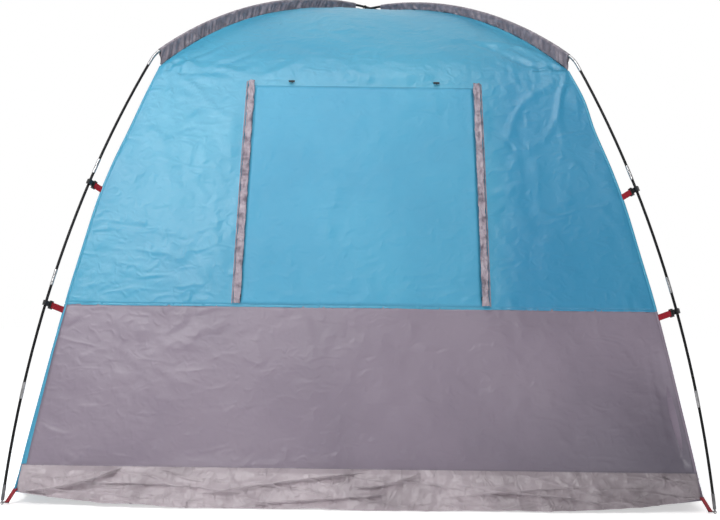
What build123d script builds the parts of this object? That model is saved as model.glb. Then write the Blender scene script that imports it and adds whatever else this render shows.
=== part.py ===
"""A cross-pole cabin-dome tent: two jointed poles crossing at the apex, with a fabric envelope hung inside.

The frame's origin is on the ground under the apex. X runs to the right of the window wall, Y towards the
rear of the tent and Z up. Lengths are in millimetres. Poles stand in the two upright diagonal planes,
where a point is given by its distance rho from the tent's axis and its height z.
"""

import os
from collections import namedtuple
from math import acos, asin, atan2, cos, degrees, hypot, radians, sin, sqrt

from build123d import *

# ---------------------------------------------------------------- driving dimensions
FOOT_SPAN = 2740.0  # between pole feet along one side; the plan is square
APEX_HEIGHT = 2250.0  # centre line of the upper pole at the crossing
SHOULDER_RHO = 1250.0  # where the roof line and the leg line would meet
SHOULDER_HEIGHT = 1832.5
LEG_BOW = 108.0  # how far the leg bows outwards from its chord
ELBOW_RADIUS = 160.0

ROD_RADIUS = 5.5
ROD_BORE_RADIUS = 3.5
FERRULE_RADIUS = 6.5
SOCKET_RADIUS = 5.7  # bore of ferrules and elbows, a running fit on the rod
FERRULE_LENGTH = 65.0
ELBOW_SOCKET = 30.0  # each end of an elbow goes this far over its rod
CORD_RADIUS = 1.5
TIP_LENGTH = 60.0
TIP_BOTTOM = 18.0  # the pole ends stand this high, on their pins
CROSSING_DROP = 2 * ROD_RADIUS + 1.2  # the lower pole passes this far under the upper one

LEG_JOINT_HEIGHTS = (437.0, 880.0, 1337.0)  # middles of the leg ferrules
HOOK_HEIGHTS = (778.0, 1270.0)  # where the straps hook on to the legs
ROOF_SECTIONS = 5

FABRIC = 1.5  # thickness of the sewn panels
SEAM_GAP = 0.3  # left between panels that are sewn edge to edge
ROOF_TOP = 2213.0  # fabric at the apex, hanging a little under the lower pole
ROOF_DROP_AT_SHOULDER = 52.0  # from the pole's centre line in to the roof seam
WALL_BOTTOM_RHO = 1891.0  # fabric corner at the ground
WALL_BOTTOM = 2.0
WALL_BOW = 62.0
BAND_TOP = 778.0  # seam between the lower band and the blue panel
SKIRT_TOP = 148.0
SKIRT_SPREAD = 56.0  # how far the skirt's hem lies out from the wall
SKIRT_END = 84.0  # the skirt stops this far short of the pole foot

SLEEVE_START = 75.0  # the poles are bare for this distance each side of the crossing
SLEEVE_RADIUS = 8.6
SLEEVE_BORE = 7.4

STRIP_HALF_TOP = 472.0  # storm strips' centre lines from the wall's middle
STRIP_HALF_BOTTOM = 497.0
STRIP_WIDTH = 32.0
WINDOW_TOP = 1705.0
WINDOW_BOTTOM = 786.0
FLAP_INSET = 16.6  # flap's edge to the strip's centre line, just clear of the strip
ZIP_INSET = 11.6  # zip's centre line to the strip's centre line
TOGGLE_OFFSET = 304.0
TOGGLE_HEIGHT = 1722.0

DOOR_HALF = 370.0
DOOR_BOTTOM = 175.0
DOOR_TOP = 1560.0
DOOR_CORNER = 180.0
DOOR_GAP = 12.0  # room for the zip between the flap and the wall's opening

WEBBING_WIDTH = 25.0
HOOK_REACH = 30.0  # from the webbing bar to the pole's centre
HOOK_DEPTH = 20.0
RING_WIRE = 1.6
RING_LENGTH = 20.0  # from the ring's webbing bar to the pin
RING_HEIGHT = 8.0

FAR = 3000.0

SIDES = {"front": -90.0, "right": 0.0, "back": 90.0, "left": 180.0}
LEGS = {"front_left": -135.0, "front_right": -45.0, "rear_right": 45.0, "rear_left": 135.0}
POLE_A = ("front_left", "rear_right")  # the upper pole; the other two legs share the lower one

os.makedirs("parts", exist_ok=True)

Arc = namedtuple("Arc", "centre radius")  # in an upright diagonal plane, as (rho, z)


# ---------------------------------------------------------------- planes
def upright(angle):
    """Upright plane through the tent's axis: local x points outwards at this angle, local y is up."""
    a = radians(angle)
    return Plane(origin=(0, 0, 0), x_dir=(cos(a), sin(a), 0), z_dir=(sin(a), -cos(a), 0))


def facing(angle):
    """Plane that looks at one side of the tent from outside: local x runs to its right, local y is up."""
    a = radians(angle)
    return Plane(origin=(0, 0, 0), x_dir=(-sin(a), cos(a), 0), z_dir=(cos(a), sin(a), 0))


def plan(angle, height=0.0):
    """Level plane whose local x points outwards at this angle."""
    a = radians(angle)
    return Plane(origin=(0, 0, height), x_dir=(cos(a), sin(a), 0), z_dir=(0, 0, 1))


# ---------------------------------------------------------------- curves of the frame and the fabric
def bowed_arc(low, high, bow):
    """The arc from low to high that stands out from its chord by bow."""
    chord = hypot(high[0] - low[0], high[1] - low[1])
    radius = chord**2 / (8 * bow) + bow / 2
    outward = ((high[1] - low[1]) / chord, (low[0] - high[0]) / chord)
    shift = bow - radius
    middle = ((low[0] + high[0]) / 2, (low[1] + high[1]) / 2)
    return Arc((middle[0] + shift * outward[0], middle[1] + shift * outward[1]), radius)


def crown_arc(top, point):
    """The arc over the tent's axis that peaks at height top and passes through point."""
    drop = top - point[1]
    radius = (point[0] ** 2 + drop**2) / (2 * drop)
    return Arc((0.0, top - radius), radius)


def angle_at(arc, height):
    """Angle, at the arc's centre, of its point at this height."""
    return degrees(asin((height - arc.centre[1]) / arc.radius))


def point_at(arc, angle, lift=0.0):
    """The arc's point at this angle, moved outwards by lift."""
    reach = arc.radius + lift
    return (arc.centre[0] + reach * cos(radians(angle)), arc.centre[1] + reach * sin(radians(angle)))


def inner_tangent_arc(roof, leg, radius):
    """The arc of this radius that runs smoothly from the leg's arc into the roof's arc."""
    a = roof.radius - radius
    b = leg.radius - radius
    dx = leg.centre[0] - roof.centre[0]
    dz = leg.centre[1] - roof.centre[1]
    d = hypot(dx, dz)
    along = (a**2 - b**2 + d**2) / (2 * d)
    across = sqrt(a**2 - along**2)
    candidates = [
        (
            roof.centre[0] + (along * dx - side * across * dz) / d,
            roof.centre[1] + (along * dz + side * across * dx) / d,
        )
        for side in (1, -1)
    ]
    return Arc(max(candidates, key=lambda centre: centre[1]), radius)


def direction(start, end):
    """Angle of the line from start to end."""
    return degrees(atan2(end[1] - start[1], end[0] - start[0]))


FOOT = (FOOT_SPAN / sqrt(2), 0.0)
SHOULDER = (SHOULDER_RHO, SHOULDER_HEIGHT)
LEG = bowed_arc(FOOT, SHOULDER, LEG_BOW)


class PoleLine:
    """Centre line of one pole: leg, elbow, roof, elbow, leg, with the angles where they meet."""

    def __init__(self, apex):
        self.roof = crown_arc(apex, SHOULDER)
        self.elbow = inner_tangent_arc(self.roof, LEG, ELBOW_RADIUS)
        self.roof_end = direction(self.roof.centre, self.elbow.centre)
        self.leg_end = direction(LEG.centre, self.elbow.centre)


UPPER_POLE = PoleLine(APEX_HEIGHT)
LOWER_POLE = PoleLine(APEX_HEIGHT - CROSSING_DROP)


def pole_of(leg):
    """The pole that this leg belongs to."""
    return UPPER_POLE if leg in POLE_A else LOWER_POLE


roof_angle = direction(UPPER_POLE.roof.centre, SHOULDER)
SEAM_CORNER = point_at(UPPER_POLE.roof, roof_angle, -ROOF_DROP_AT_SHOULDER)
WALL = bowed_arc((WALL_BOTTOM_RHO, WALL_BOTTOM), SEAM_CORNER, WALL_BOW)
ROOF = crown_arc(ROOF_TOP, SEAM_CORNER)
CREASE_GAP = 0.9  # the wall and the roof each stop this far short of their seam


def wall_half(height):
    """Half the tent's width at this height, out to the face of the fabric."""
    return point_at(WALL, angle_at(WALL, height))[0] / sqrt(2)


# ---------------------------------------------------------------- shapes drawn in the open builder
def tube(angle, spans, outer, bore=0.0, mode=Mode.ADD):
    """A round tube in an upright plane, along joined spans given as (arc, first angle, last angle)."""
    plane = upright(angle)
    for arc, first, last in spans:
        start = point_at(arc, first)
        outwards = plane.x_dir * cos(radians(first)) + Vector(0, 0, 1) * sin(radians(first))
        section_plane = Plane(
            origin=plane.from_local_coords(start), x_dir=outwards, z_dir=plane.z_dir.cross(outwards)
        )
        with BuildSketch(section_plane) as section:
            Circle(outer)
            if bore:
                Circle(bore, mode=Mode.SUBTRACT)
        hub = Axis(origin=plane.from_local_coords(arc.centre), direction=plane.z_dir)
        revolve(section.sketch, axis=hub, revolution_arc=last - first, mode=mode)


def arc_step(arc, length):
    """Angle that this length takes up along the arc."""
    return degrees(length / arc.radius)


def mirrored(arc):
    """The same arc on the other side of the tent's axis."""
    return Arc((-arc.centre[0], arc.centre[1]), arc.radius)


def fabric(side, arc, first, last, inner, outer, keep=None, cut=None):
    """A sheet that follows one side of the tent between two angles of its arc.

    inner and outer are the heights of its faces above the fabric's outer face, square to it. keep and
    cut draw outlines, seen from outside, that trim the sheet or make an opening in it.
    """
    angle = SIDES[side]
    tip = SEAM_GAP / sqrt(2)
    centre = (arc.centre[0] / sqrt(2), arc.centre[1])
    squeeze = sqrt(1 + cos(radians((first + last) / 2)) ** 2)  # the section is narrowed by sqrt(2) across
    outside = arc.radius + outer * squeeze
    inside = arc.radius + inner * squeeze
    with BuildPart() as sheet:
        with BuildSketch(upright(angle)):
            with BuildLine():
                face = EllipticalCenterArc(centre, outside / sqrt(2), outside, first, arc_size=last - first)
                back = EllipticalCenterArc(centre, inside / sqrt(2), inside, first, arc_size=last - first)
                Line(face @ 0, back @ 0)
                Line(face @ 1, back @ 1)
            make_face()
        extrude(amount=FAR, both=True)
        with BuildSketch(plan(angle)):
            Polygon((tip, 0), (tip + FAR, FAR), (tip + FAR, -FAR), align=None)
        extrude(amount=FAR, mode=Mode.INTERSECT)
        if keep:
            with BuildSketch(facing(angle)):
                keep()
            extrude(amount=FAR, mode=Mode.INTERSECT)
        if cut:
            with BuildSketch(facing(angle)):
                cut()
            extrude(amount=FAR, mode=Mode.SUBTRACT)
    return sheet


def save(piece, name):
    """Label a finished piece and write its file."""
    piece.part.label = name
    export_step(piece.part, f"parts/{name}.step")


# ---------------------------------------------------------------- poles
ROD_END_GAP = 0.3
ROD_START = 50.0  # the lowest rod ends this high, inside the pole tip

for leg, angle in LEGS.items():
    pole = pole_of(leg)
    gap = arc_step(LEG, ROD_END_GAP)
    joints = [angle_at(LEG, height) for height in (ROD_START, *LEG_JOINT_HEIGHTS)] + [pole.leg_end]
    with BuildPart() as leg_rods:
        for first, last in zip(joints, joints[1:]):
            tube(angle, [(LEG, first + gap, last - gap)], ROD_RADIUS, ROD_BORE_RADIUS)
    save(leg_rods, f"leg_rods_{leg}")

    with BuildPart() as elbow:
        spans = [
            (LEG, pole.leg_end - arc_step(LEG, ELBOW_SOCKET), pole.leg_end),
            (pole.elbow, pole.leg_end, pole.roof_end),
            (pole.roof, pole.roof_end, pole.roof_end + arc_step(pole.roof, ELBOW_SOCKET)),
        ]
        tube(angle, spans, FERRULE_RADIUS, SOCKET_RADIUS)
    save(elbow, f"elbow_{leg}")


def roof_joint_angles(pole):
    """Angles of the ends of the roof sections, from one elbow over the apex to the other."""
    step = (180 - 2 * pole.roof_end) / ROOF_SECTIONS
    return [pole.roof_end + i * step for i in range(ROOF_SECTIONS + 1)]


for name, leg, pole in (
    ("roof_rods_upper_pole", "front_left", UPPER_POLE),
    ("roof_rods_lower_pole", "front_right", LOWER_POLE),
):
    gap = arc_step(pole.roof, ROD_END_GAP)
    joints = roof_joint_angles(pole)
    with BuildPart() as roof_rods:
        for first, last in zip(joints, joints[1:]):
            span = (pole.roof, first + gap, last - gap)
            tube(LEGS[leg], [span], ROD_RADIUS, ROD_BORE_RADIUS)
    save(roof_rods, name)

with BuildPart() as ferrules:
    half = arc_step(LEG, FERRULE_LENGTH / 2)
    for angle in LEGS.values():
        for height in LEG_JOINT_HEIGHTS:
            middle = angle_at(LEG, height)
            tube(angle, [(LEG, middle - half, middle + half)], FERRULE_RADIUS, SOCKET_RADIUS)
    for leg, pole in (("front_left", UPPER_POLE), ("front_right", LOWER_POLE)):
        half = arc_step(pole.roof, FERRULE_LENGTH / 2)
        for middle in roof_joint_angles(pole)[1:-1]:
            tube(LEGS[leg], [(pole.roof, middle - half, middle + half)], FERRULE_RADIUS, SOCKET_RADIUS)
save(ferrules, "ferrules")

with BuildPart() as pole_tips:
    low = angle_at(LEG, TIP_BOTTOM)
    for angle in LEGS.values():
        span = (LEG, low, low + arc_step(LEG, TIP_LENGTH))
        tube(angle, [span], FERRULE_RADIUS, SOCKET_RADIUS)
save(pole_tips, "pole_tips")

with BuildPart() as shock_cords:
    for leg, pole in (("front_left", UPPER_POLE), ("front_right", LOWER_POLE)):
        foot = angle_at(LEG, ROD_START + ROD_END_GAP)
        spans = [
            (LEG, foot, pole.leg_end),
            (pole.elbow, pole.leg_end, pole.roof_end),
            (pole.roof, pole.roof_end, 180 - pole.roof_end),
            (mirrored(pole.elbow), 180 - pole.roof_end, 180 - pole.leg_end),
            (mirrored(LEG), 180 - pole.leg_end, 180 - foot),
        ]
        tube(LEGS[leg], spans, CORD_RADIUS)
save(shock_cords, "shock_cords")


# ---------------------------------------------------------------- pole sleeves and the tie at the crossing
WEB_HALF = 0.8  # half the thickness of the sleeve's fin
WEB_CLEARANCE = 0.6  # between the fin and the roof it is sewn to
SLEEVE_TO_BEND = 8.0  # the sleeve ends this far short of the elbow's bend
BORE_OVERRUN = 2.0  # degrees that the sleeve's bore is cut past its ends

for leg, angle in LEGS.items():
    pole = pole_of(leg)
    low = pole.roof_end + arc_step(pole.roof, SLEEVE_TO_BEND)
    high = degrees(acos(SLEEVE_START / pole.roof.radius))
    seam = Arc(ROOF.centre, ROOF.radius + WEB_CLEARANCE)
    seam_low = degrees(acos(point_at(pole.roof, low)[0] / seam.radius))
    seam_high = degrees(acos(SLEEVE_START / seam.radius))
    with BuildPart() as sleeve:
        with BuildSketch(upright(angle)):
            with BuildLine():
                top = CenterArc(pole.roof.centre, pole.roof.radius, low, high - low)
                base = CenterArc(seam.centre, seam.radius, seam_low, seam_high - seam_low)
                Line(top @ 0, base @ 0)
                Line(top @ 1, base @ 1)
            make_face()
        extrude(amount=WEB_HALF, both=True)
        tube(angle, [(pole.roof, low, high)], SLEEVE_RADIUS)
        tube(angle, [(pole.roof, low - BORE_OVERRUN, high + BORE_OVERRUN)], SLEEVE_BORE, mode=Mode.SUBTRACT)
    save(sleeve, f"sleeve_{leg}")

TIE_HALF_INSIDE = 11.5
TIE_THICKNESS = 1.8
TIE_WIDTH = 6.0
TIE_TOP = APEX_HEIGHT + ROD_RADIUS + 0.6
TIE_BOTTOM = APEX_HEIGHT - CROSSING_DROP - ROD_RADIUS - 0.6

with BuildPart() as apex_tie:
    with BuildSketch(Plane.YZ):
        with Locations((0, (TIE_TOP + TIE_BOTTOM) / 2)):
            inside_height = TIE_TOP - TIE_BOTTOM
            RectangleRounded(
                2 * (TIE_HALF_INSIDE + TIE_THICKNESS), inside_height + 2 * TIE_THICKNESS, 4 + TIE_THICKNESS
            )
            RectangleRounded(2 * TIE_HALF_INSIDE, inside_height, 4, mode=Mode.SUBTRACT)
    extrude(amount=TIE_WIDTH / 2, both=True)
    with Locations((0, -TIE_HALF_INSIDE - 4, (TIE_TOP + TIE_BOTTOM) / 2)):
        Box(9, 7, 9)
    fillet(apex_tie.edges().filter_by(Axis.Z).group_by(Axis.Y)[0], 2.5)
save(apex_tie, "apex_tie")


# ---------------------------------------------------------------- roof and plain walls
CREASE_ON_ROOF = direction(ROOF.centre, SEAM_CORNER) + arc_step(ROOF, CREASE_GAP)
CREASE_ON_WALL = direction(WALL.centre, SEAM_CORNER) - arc_step(WALL, CREASE_GAP)
HALF_SEAM = arc_step(WALL, SEAM_GAP / 2)
WALL_FOOT = angle_at(WALL, WALL_BOTTOM)
BAND_SEAM = angle_at(WALL, BAND_TOP)

for side in SIDES:
    roof_panel = fabric(side, ROOF, CREASE_ON_ROOF, 90, -FABRIC, 0)
    save(roof_panel, f"roof_panel_{side}")

for side in ("front", "right", "back"):
    lower_band = fabric(side, WALL, WALL_FOOT, BAND_SEAM - HALF_SEAM, -FABRIC, 0)
    save(lower_band, f"lower_band_{side}")

for side in ("right", "back"):
    upper_wall = fabric(side, WALL, BAND_SEAM + HALF_SEAM, CREASE_ON_WALL, -FABRIC, 0)
    save(upper_wall, f"upper_wall_{side}")


# ---------------------------------------------------------------- window in the front wall
def strip_line(height):
    """Distance of a storm strip's centre line from the wall's middle at this height."""
    share = (height - WINDOW_BOTTOM) / (WINDOW_TOP - WINDOW_BOTTOM)
    return STRIP_HALF_BOTTOM + share * (STRIP_HALF_TOP - STRIP_HALF_BOTTOM)


def beside_strip(near, far, low=WINDOW_BOTTOM, high=WINDOW_TOP, hand=1):
    """Outline between two distances from a storm strip's centre line, on the right or left hand."""
    Polygon(
        (hand * (strip_line(low) + near), low),
        (hand * (strip_line(low) + far), low),
        (hand * (strip_line(high) + far), high),
        (hand * (strip_line(high) + near), high),
        align=None,
    )


def across_window(inset, low=WINDOW_BOTTOM, high=WINDOW_TOP):
    """Outline that reaches from strip to strip, less inset at each side."""
    Polygon(
        (-strip_line(low) + inset, low),
        (strip_line(low) - inset, low),
        (strip_line(high) - inset, high),
        (-strip_line(high) + inset, high),
        align=None,
    )


OPENING_INSET = 30.0  # the window opening stops this far inside the strips
OPENING_LOW = WINDOW_BOTTOM + 30
OPENING_HIGH = WINDOW_TOP - 30
window_low = angle_at(WALL, WINDOW_BOTTOM)
window_high = angle_at(WALL, WINDOW_TOP)

front_wall = fabric(
    "front", WALL, BAND_SEAM + HALF_SEAM, CREASE_ON_WALL, -FABRIC, 0,
    cut=lambda: across_window(OPENING_INSET, OPENING_LOW, OPENING_HIGH),
)
save(front_wall, "upper_wall_front")

window_mesh = fabric(
    "front", WALL, window_low, window_high, -FABRIC + SEAM_GAP, -SEAM_GAP,
    keep=lambda: across_window(OPENING_INSET + SEAM_GAP, OPENING_LOW + SEAM_GAP, OPENING_HIGH - SEAM_GAP),
)
save(window_mesh, "window_mesh")

FLAP_LIFT = (0.6, 1.8)
window_flap = fabric(
    "front", WALL, window_low, window_high, *FLAP_LIFT, keep=lambda: across_window(FLAP_INSET)
)
save(window_flap, "window_flap")

TAPE_LIFT = (0.3, 1.1)
COIL_LIFT = (1.0, 2.6)
TAPE_HALF = 3.6
COIL_HALF = 1.5


def window_zip_strips(hand):
    """Tape and coil of the zip under one storm strip."""
    return [
        fabric(
            "front", WALL, window_low, window_high, *lift,
            keep=lambda: beside_strip(-ZIP_INSET - half, -ZIP_INSET + half, hand=hand),
        )
        for lift, half in ((TAPE_LIFT, TAPE_HALF), (COIL_LIFT, COIL_HALF))
    ]


zip_strips = window_zip_strips(1) + window_zip_strips(-1)
with BuildPart() as window_zips:
    for strip in zip_strips:
        add(strip.part)
save(window_zips, "window_zips")

STRIP_LIFT = (7.2, 8.4)
for hand, name in ((1, "right"), (-1, "left")):
    storm_strip = fabric(
        "front", WALL, window_low, window_high, *STRIP_LIFT,
        keep=lambda: beside_strip(-STRIP_WIDTH / 2, STRIP_WIDTH / 2, hand=hand),
    )
    save(storm_strip, f"storm_strip_{name}")


# ---------------------------------------------------------------- zip sliders
SLIDER_LENGTH = 14.0
SLIDER_WIDTH = 9.0
SLIDER_FOOT = 1.4  # above the fabric's face, clear of the tape
SLIDER_TOP = 4.6
GROOVE_WIDTH = 3.8
GROOVE_TOP = 3.0
PULL_LENGTH = 20.0
PULL_WIDTH = 6.0
PULL_THICKNESS = 1.2


def surface_plane(side, height, across, slant=0.0):
    """Plane that lies on a wall: its local y runs up the fabric and its normal points outwards."""
    angle = radians(SIDES[side])
    turn = radians(angle_at(WALL, height))
    steep = hypot(sqrt(2) * cos(turn), sin(turn))
    out = Vector(cos(angle), sin(angle), 0)
    right = Vector(-sin(angle), cos(angle), 0)
    up = Vector(0, 0, 1)
    origin = out * wall_half(height) + right * across + up * height
    normal = (out * (sqrt(2) * cos(turn)) + up * sin(turn)) * (1 / steep)
    level = (right + up * slant).normalized()
    return Plane(origin=origin, x_dir=level - normal * level.dot(normal), z_dir=normal)


def zip_slider(base):
    """A slider that straddles the coil, with its pull tab hanging down over it."""
    with BuildPart() as slider:
        with BuildSketch(base.offset(SLIDER_FOOT)):
            RectangleRounded(SLIDER_WIDTH, SLIDER_LENGTH, 2)
        extrude(amount=SLIDER_TOP - SLIDER_FOOT)
        with BuildSketch(base.offset(SLIDER_FOOT)):
            Rectangle(GROOVE_WIDTH, 2 * SLIDER_LENGTH)
        extrude(amount=GROOVE_TOP - SLIDER_FOOT, mode=Mode.SUBTRACT)
        with BuildSketch(base.offset(SLIDER_TOP)):
            with Locations((0, -PULL_LENGTH / 2 + 3)):
                RectangleRounded(PULL_WIDTH, PULL_LENGTH, 2)
            with Locations((0, -PULL_LENGTH + 7)):
                Circle(1.6, mode=Mode.SUBTRACT)
        extrude(amount=PULL_THICKNESS)
    return slider


SLIDER_HEIGHT = WINDOW_BOTTOM + 32
STRIP_SLANT = (STRIP_HALF_BOTTOM - STRIP_HALF_TOP) / (WINDOW_TOP - WINDOW_BOTTOM)
for hand, name in ((1, "right"), (-1, "left")):
    across = hand * (strip_line(SLIDER_HEIGHT) - ZIP_INSET)
    base = surface_plane("front", SLIDER_HEIGHT, across, hand * STRIP_SLANT)
    slider = zip_slider(base)
    save(slider, f"window_slider_{name}")

TOGGLE_RADIUS = 4.0
TOGGLE_LENGTH = 26.0
TOGGLE_LIFT = 9.0
for hand, name in ((1, "right"), (-1, "left")):
    base = surface_plane("front", TOGGLE_HEIGHT, hand * TOGGLE_OFFSET).offset(TOGGLE_LIFT)
    with BuildPart() as toggle:
        with BuildSketch(Plane(origin=base.origin, x_dir=base.z_dir, z_dir=base.x_dir)):
            Circle(TOGGLE_RADIUS)
        extrude(amount=TOGGLE_LENGTH / 2, both=True)
        fillet(toggle.edges().filter_by(GeomType.CIRCLE), 1.8)
    save(toggle, f"window_toggle_{name}")

with BuildPart() as toggle_tabs:
    for hand in (1, -1):
        base = surface_plane("front", TOGGLE_HEIGHT, hand * TOGGLE_OFFSET)
        with BuildSketch(base.offset(SEAM_GAP)):
            RectangleRounded(9, 14, 2)
        extrude(amount=TOGGLE_LIFT - TOGGLE_RADIUS - 1)
save(toggle_tabs, "toggle_tabs")


# ---------------------------------------------------------------- left wall with its door
def door_shape(grow=0.0):
    """The door's outline with its round top corners, grown all round."""
    low = DOOR_BOTTOM - grow
    high = DOOR_TOP + grow
    half = DOOR_HALF + grow
    radius = DOOR_CORNER + grow
    with BuildLine() as outline:
        FilletPolyline((-half, low), (-half, high), (half, high), (half, low), radius=radius)
        Line((half, low), (-half, low))
    make_face(outline.edges())


left_wall = fabric("left", WALL, WALL_FOOT, CREASE_ON_WALL, -FABRIC, 0, cut=lambda: door_shape(DOOR_GAP))
save(left_wall, "door_wall")

door_flap = fabric("left", WALL, WALL_FOOT, CREASE_ON_WALL, -FABRIC, 0, keep=door_shape)
save(door_flap, "door_flap")

DOOR_TAPE = (1.5, 11.5)  # distances from the flap's edge
DOOR_COIL = (4.5, 7.5)
DOOR_TAPE_LIFT = (-1.2, -0.4)
DOOR_COIL_LIFT = (-0.5, 1.2)
DOOR_LIFT = 1.4  # the door's zip lies this much deeper than the window's
door_strips = [
    fabric(
        "left", WALL, WALL_FOOT, CREASE_ON_WALL, *lift,
        keep=lambda: door_shape(far), cut=lambda: door_shape(near),
    )
    for lift, (near, far) in ((DOOR_TAPE_LIFT, DOOR_TAPE), (DOOR_COIL_LIFT, DOOR_COIL))
]
with BuildPart() as door_zip:
    for strip in door_strips:
        add(strip.part)
save(door_zip, "door_zip")

DOOR_SLIDER_HEIGHT = DOOR_BOTTOM + 40
door_slider = zip_slider(
    surface_plane("left", DOOR_SLIDER_HEIGHT, DOOR_HALF + sum(DOOR_COIL) / 2).offset(-DOOR_LIFT)
)
save(door_slider, "door_slider")


# ---------------------------------------------------------------- shoulder patches, skirts and groundsheet
PATCH_DROP = 150.0
PATCH_INSET = 3.0
PATCH_REACH = 60.0


def shoulder_patch(hand):
    """Outline of the reinforcement at one upper corner of a side wall."""
    top = SEAM_CORNER[1] - PATCH_INSET
    low = top - PATCH_DROP
    Polygon(
        (hand * (wall_half(top) - PATCH_INSET), top),
        (hand * (wall_half(top) - PATCH_REACH), top),
        (hand * (wall_half(low) - PATCH_INSET), low),
        align=None,
    )


patches = [
    fabric(side, WALL, BAND_SEAM, CREASE_ON_WALL, SEAM_GAP, SEAM_GAP + 1, keep=lambda: shoulder_patch(hand))
    for side in ("left", "right")
    for hand in (1, -1)
]
with BuildPart() as shoulder_patches:
    for patch in patches:
        add(patch.part)
save(shoulder_patches, "shoulder_patches")

for side, angle in SIDES.items():
    seam_half = wall_half(SKIRT_TOP) + SEAM_GAP
    hem_half = wall_half(WALL_BOTTOM) + SKIRT_SPREAD
    with BuildPart() as skirt:
        with BuildSketch(upright(angle)):
            Polygon(
                (seam_half, SKIRT_TOP),
                (seam_half + FABRIC, SKIRT_TOP),
                (hem_half + FABRIC, 0),
                (hem_half, 0),
                align=None,
            )
        extrude(amount=FOOT_SPAN / 2 - SKIRT_END, both=True)
    save(skirt, f"skirt_{side}")

SHEET_THICKNESS = 1.2
with BuildPart() as groundsheet:
    with BuildSketch():
        Rectangle(2 * wall_half(WALL_BOTTOM) - 2, 2 * wall_half(WALL_BOTTOM) - 2)
    extrude(amount=SHEET_THICKNESS)
save(groundsheet, "groundsheet")


# ---------------------------------------------------------------- straps and hooks on the legs
BAR_RADIUS = 2.4
LOOP_BORE = 2.8
LOOP_RADIUS = 4.3
STRAP_THICKNESS = 3.0  # two layers of webbing
STRAP_END_GAP = 1.5
LUG_INSIDE = WEBBING_WIDTH / 2 + 0.8
LUG_THICKNESS = 3.0
BACK_NEAR = 7.5  # the hook's back plate, measured from the webbing bar
BACK_FAR = 12.0
BACK_WIDTH = 13.0
JAW_CLEARANCE = 0.5
JAW_WALL = 3.5


def hook_plane(leg, height):
    """Plane across a leg at a hook: its origin is the webbing bar and local x points out to the pole."""
    upright_plane = upright(LEGS[leg])
    turn = angle_at(LEG, height)
    origin = upright_plane.from_local_coords(point_at(LEG, turn, -HOOK_REACH))
    outwards = upright_plane.x_dir * cos(radians(turn)) + Vector(0, 0, 1) * sin(radians(turn))
    along = Vector(0, 0, 1) * cos(radians(turn)) - upright_plane.x_dir * sin(radians(turn))
    return Plane(origin=origin, x_dir=outwards, z_dir=along)


def strap_length(height):
    """Distance from a hook's webbing bar in to the corner seam of the walls."""
    turn = angle_at(LEG, height)
    bar = point_at(LEG, turn, -HOOK_REACH)
    inwards = (-cos(radians(turn)), -sin(radians(turn)))
    dx = bar[0] - WALL.centre[0]
    dz = bar[1] - WALL.centre[1]
    half = dx * inwards[0] + dz * inwards[1]
    return -half - sqrt(half**2 - dx**2 - dz**2 + WALL.radius**2)


def sector(inner, outer, first, last):
    """Part of a ring about the webbing bar."""
    with BuildLine() as outline:
        far = CenterArc((0, 0), outer, first, last - first)
        near = CenterArc((0, 0), inner, first, last - first)
        Line(far @ 0, near @ 0)
        Line(far @ 1, near @ 1)
    make_face(outline.edges())


def webbing(plane, length, thickness=STRAP_THICKNESS, bore=LOOP_BORE, loop=LOOP_RADIUS):
    """A strap that loops round a bar at the plane's origin and runs back along its local -x."""
    with BuildSketch(plane) as profile:
        Circle(loop)
        with Locations((-length / 2, 0)):
            Rectangle(length, thickness)
        Circle(bore, mode=Mode.SUBTRACT)
    extrude(profile.sketch, amount=WEBBING_WIDTH / 2, both=True)


with BuildPart() as straps:
    for leg in LEGS:
        for height in HOOK_HEIGHTS:
            webbing(hook_plane(leg, height), strap_length(height) - STRAP_END_GAP)
save(straps, "straps")

JAW_INNER = HOOK_REACH - ROD_RADIUS - JAW_CLEARANCE
JAW_OUTER = HOOK_REACH + ROD_RADIUS + JAW_CLEARANCE
JAW_STOP = 12.5  # degrees round the bar from the pole's centre to the closed end of the jaw
JAW_END = 20.0
JAW_MOUTH = -12.0
BACK_HEIGHT = LUG_INSIDE + LUG_THICKNESS

for leg in LEGS:
    for height, level in zip(HOOK_HEIGHTS, ("lower", "upper")):
        plane = hook_plane(leg, height)
        with BuildPart() as hook:
            with BuildSketch(plane):
                sector(JAW_OUTER, JAW_OUTER + JAW_WALL, JAW_MOUTH, JAW_END)
                sector(JAW_INNER - JAW_WALL, JAW_INNER, JAW_MOUTH, JAW_END)
                sector(JAW_INNER - JAW_WALL, JAW_OUTER + JAW_WALL, JAW_STOP, JAW_END)
                with Locations(((BACK_NEAR + JAW_INNER) / 2, 0)):
                    Rectangle(JAW_INNER - BACK_NEAR, 6)
            extrude(amount=HOOK_DEPTH / 2, both=True)
            with BuildSketch(plane):
                with Locations(((BACK_NEAR + BACK_FAR) / 2, 0)):
                    Rectangle(BACK_FAR - BACK_NEAR, BACK_WIDTH)
            extrude(amount=BACK_HEIGHT, both=True)
            for end in (1, -1):
                with BuildSketch(plane.offset(end * LUG_INSIDE)):
                    Circle(BAR_RADIUS + 2)
                    with Locations((BACK_FAR / 2, 0)):
                        Rectangle(BACK_FAR, 2 * BAR_RADIUS + 4)
                extrude(amount=end * LUG_THICKNESS)
            with BuildSketch(plane):
                Circle(BAR_RADIUS)
            extrude(amount=BACK_HEIGHT, both=True)
        save(hook, f"hook_{level}_{leg}")


# ---------------------------------------------------------------- corner webbing, rings and pins
PIN_RADIUS = 3.2
PIN_TOP = 44.0
EYE_RADIUS = 5.6
CORNER_HEIGHT = 60.0  # where the corner webbing is sewn to the walls
CORNER_LOOP = 3.6
pin_rho = point_at(LEG, angle_at(LEG, RING_HEIGHT))[0]
ring_path_points = [
    (-RING_LENGTH, -WEBBING_WIDTH / 2 - 9),
    (-RING_LENGTH, WEBBING_WIDTH / 2 + 9),
    (0, 5),
    (0, -5),
]

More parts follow.
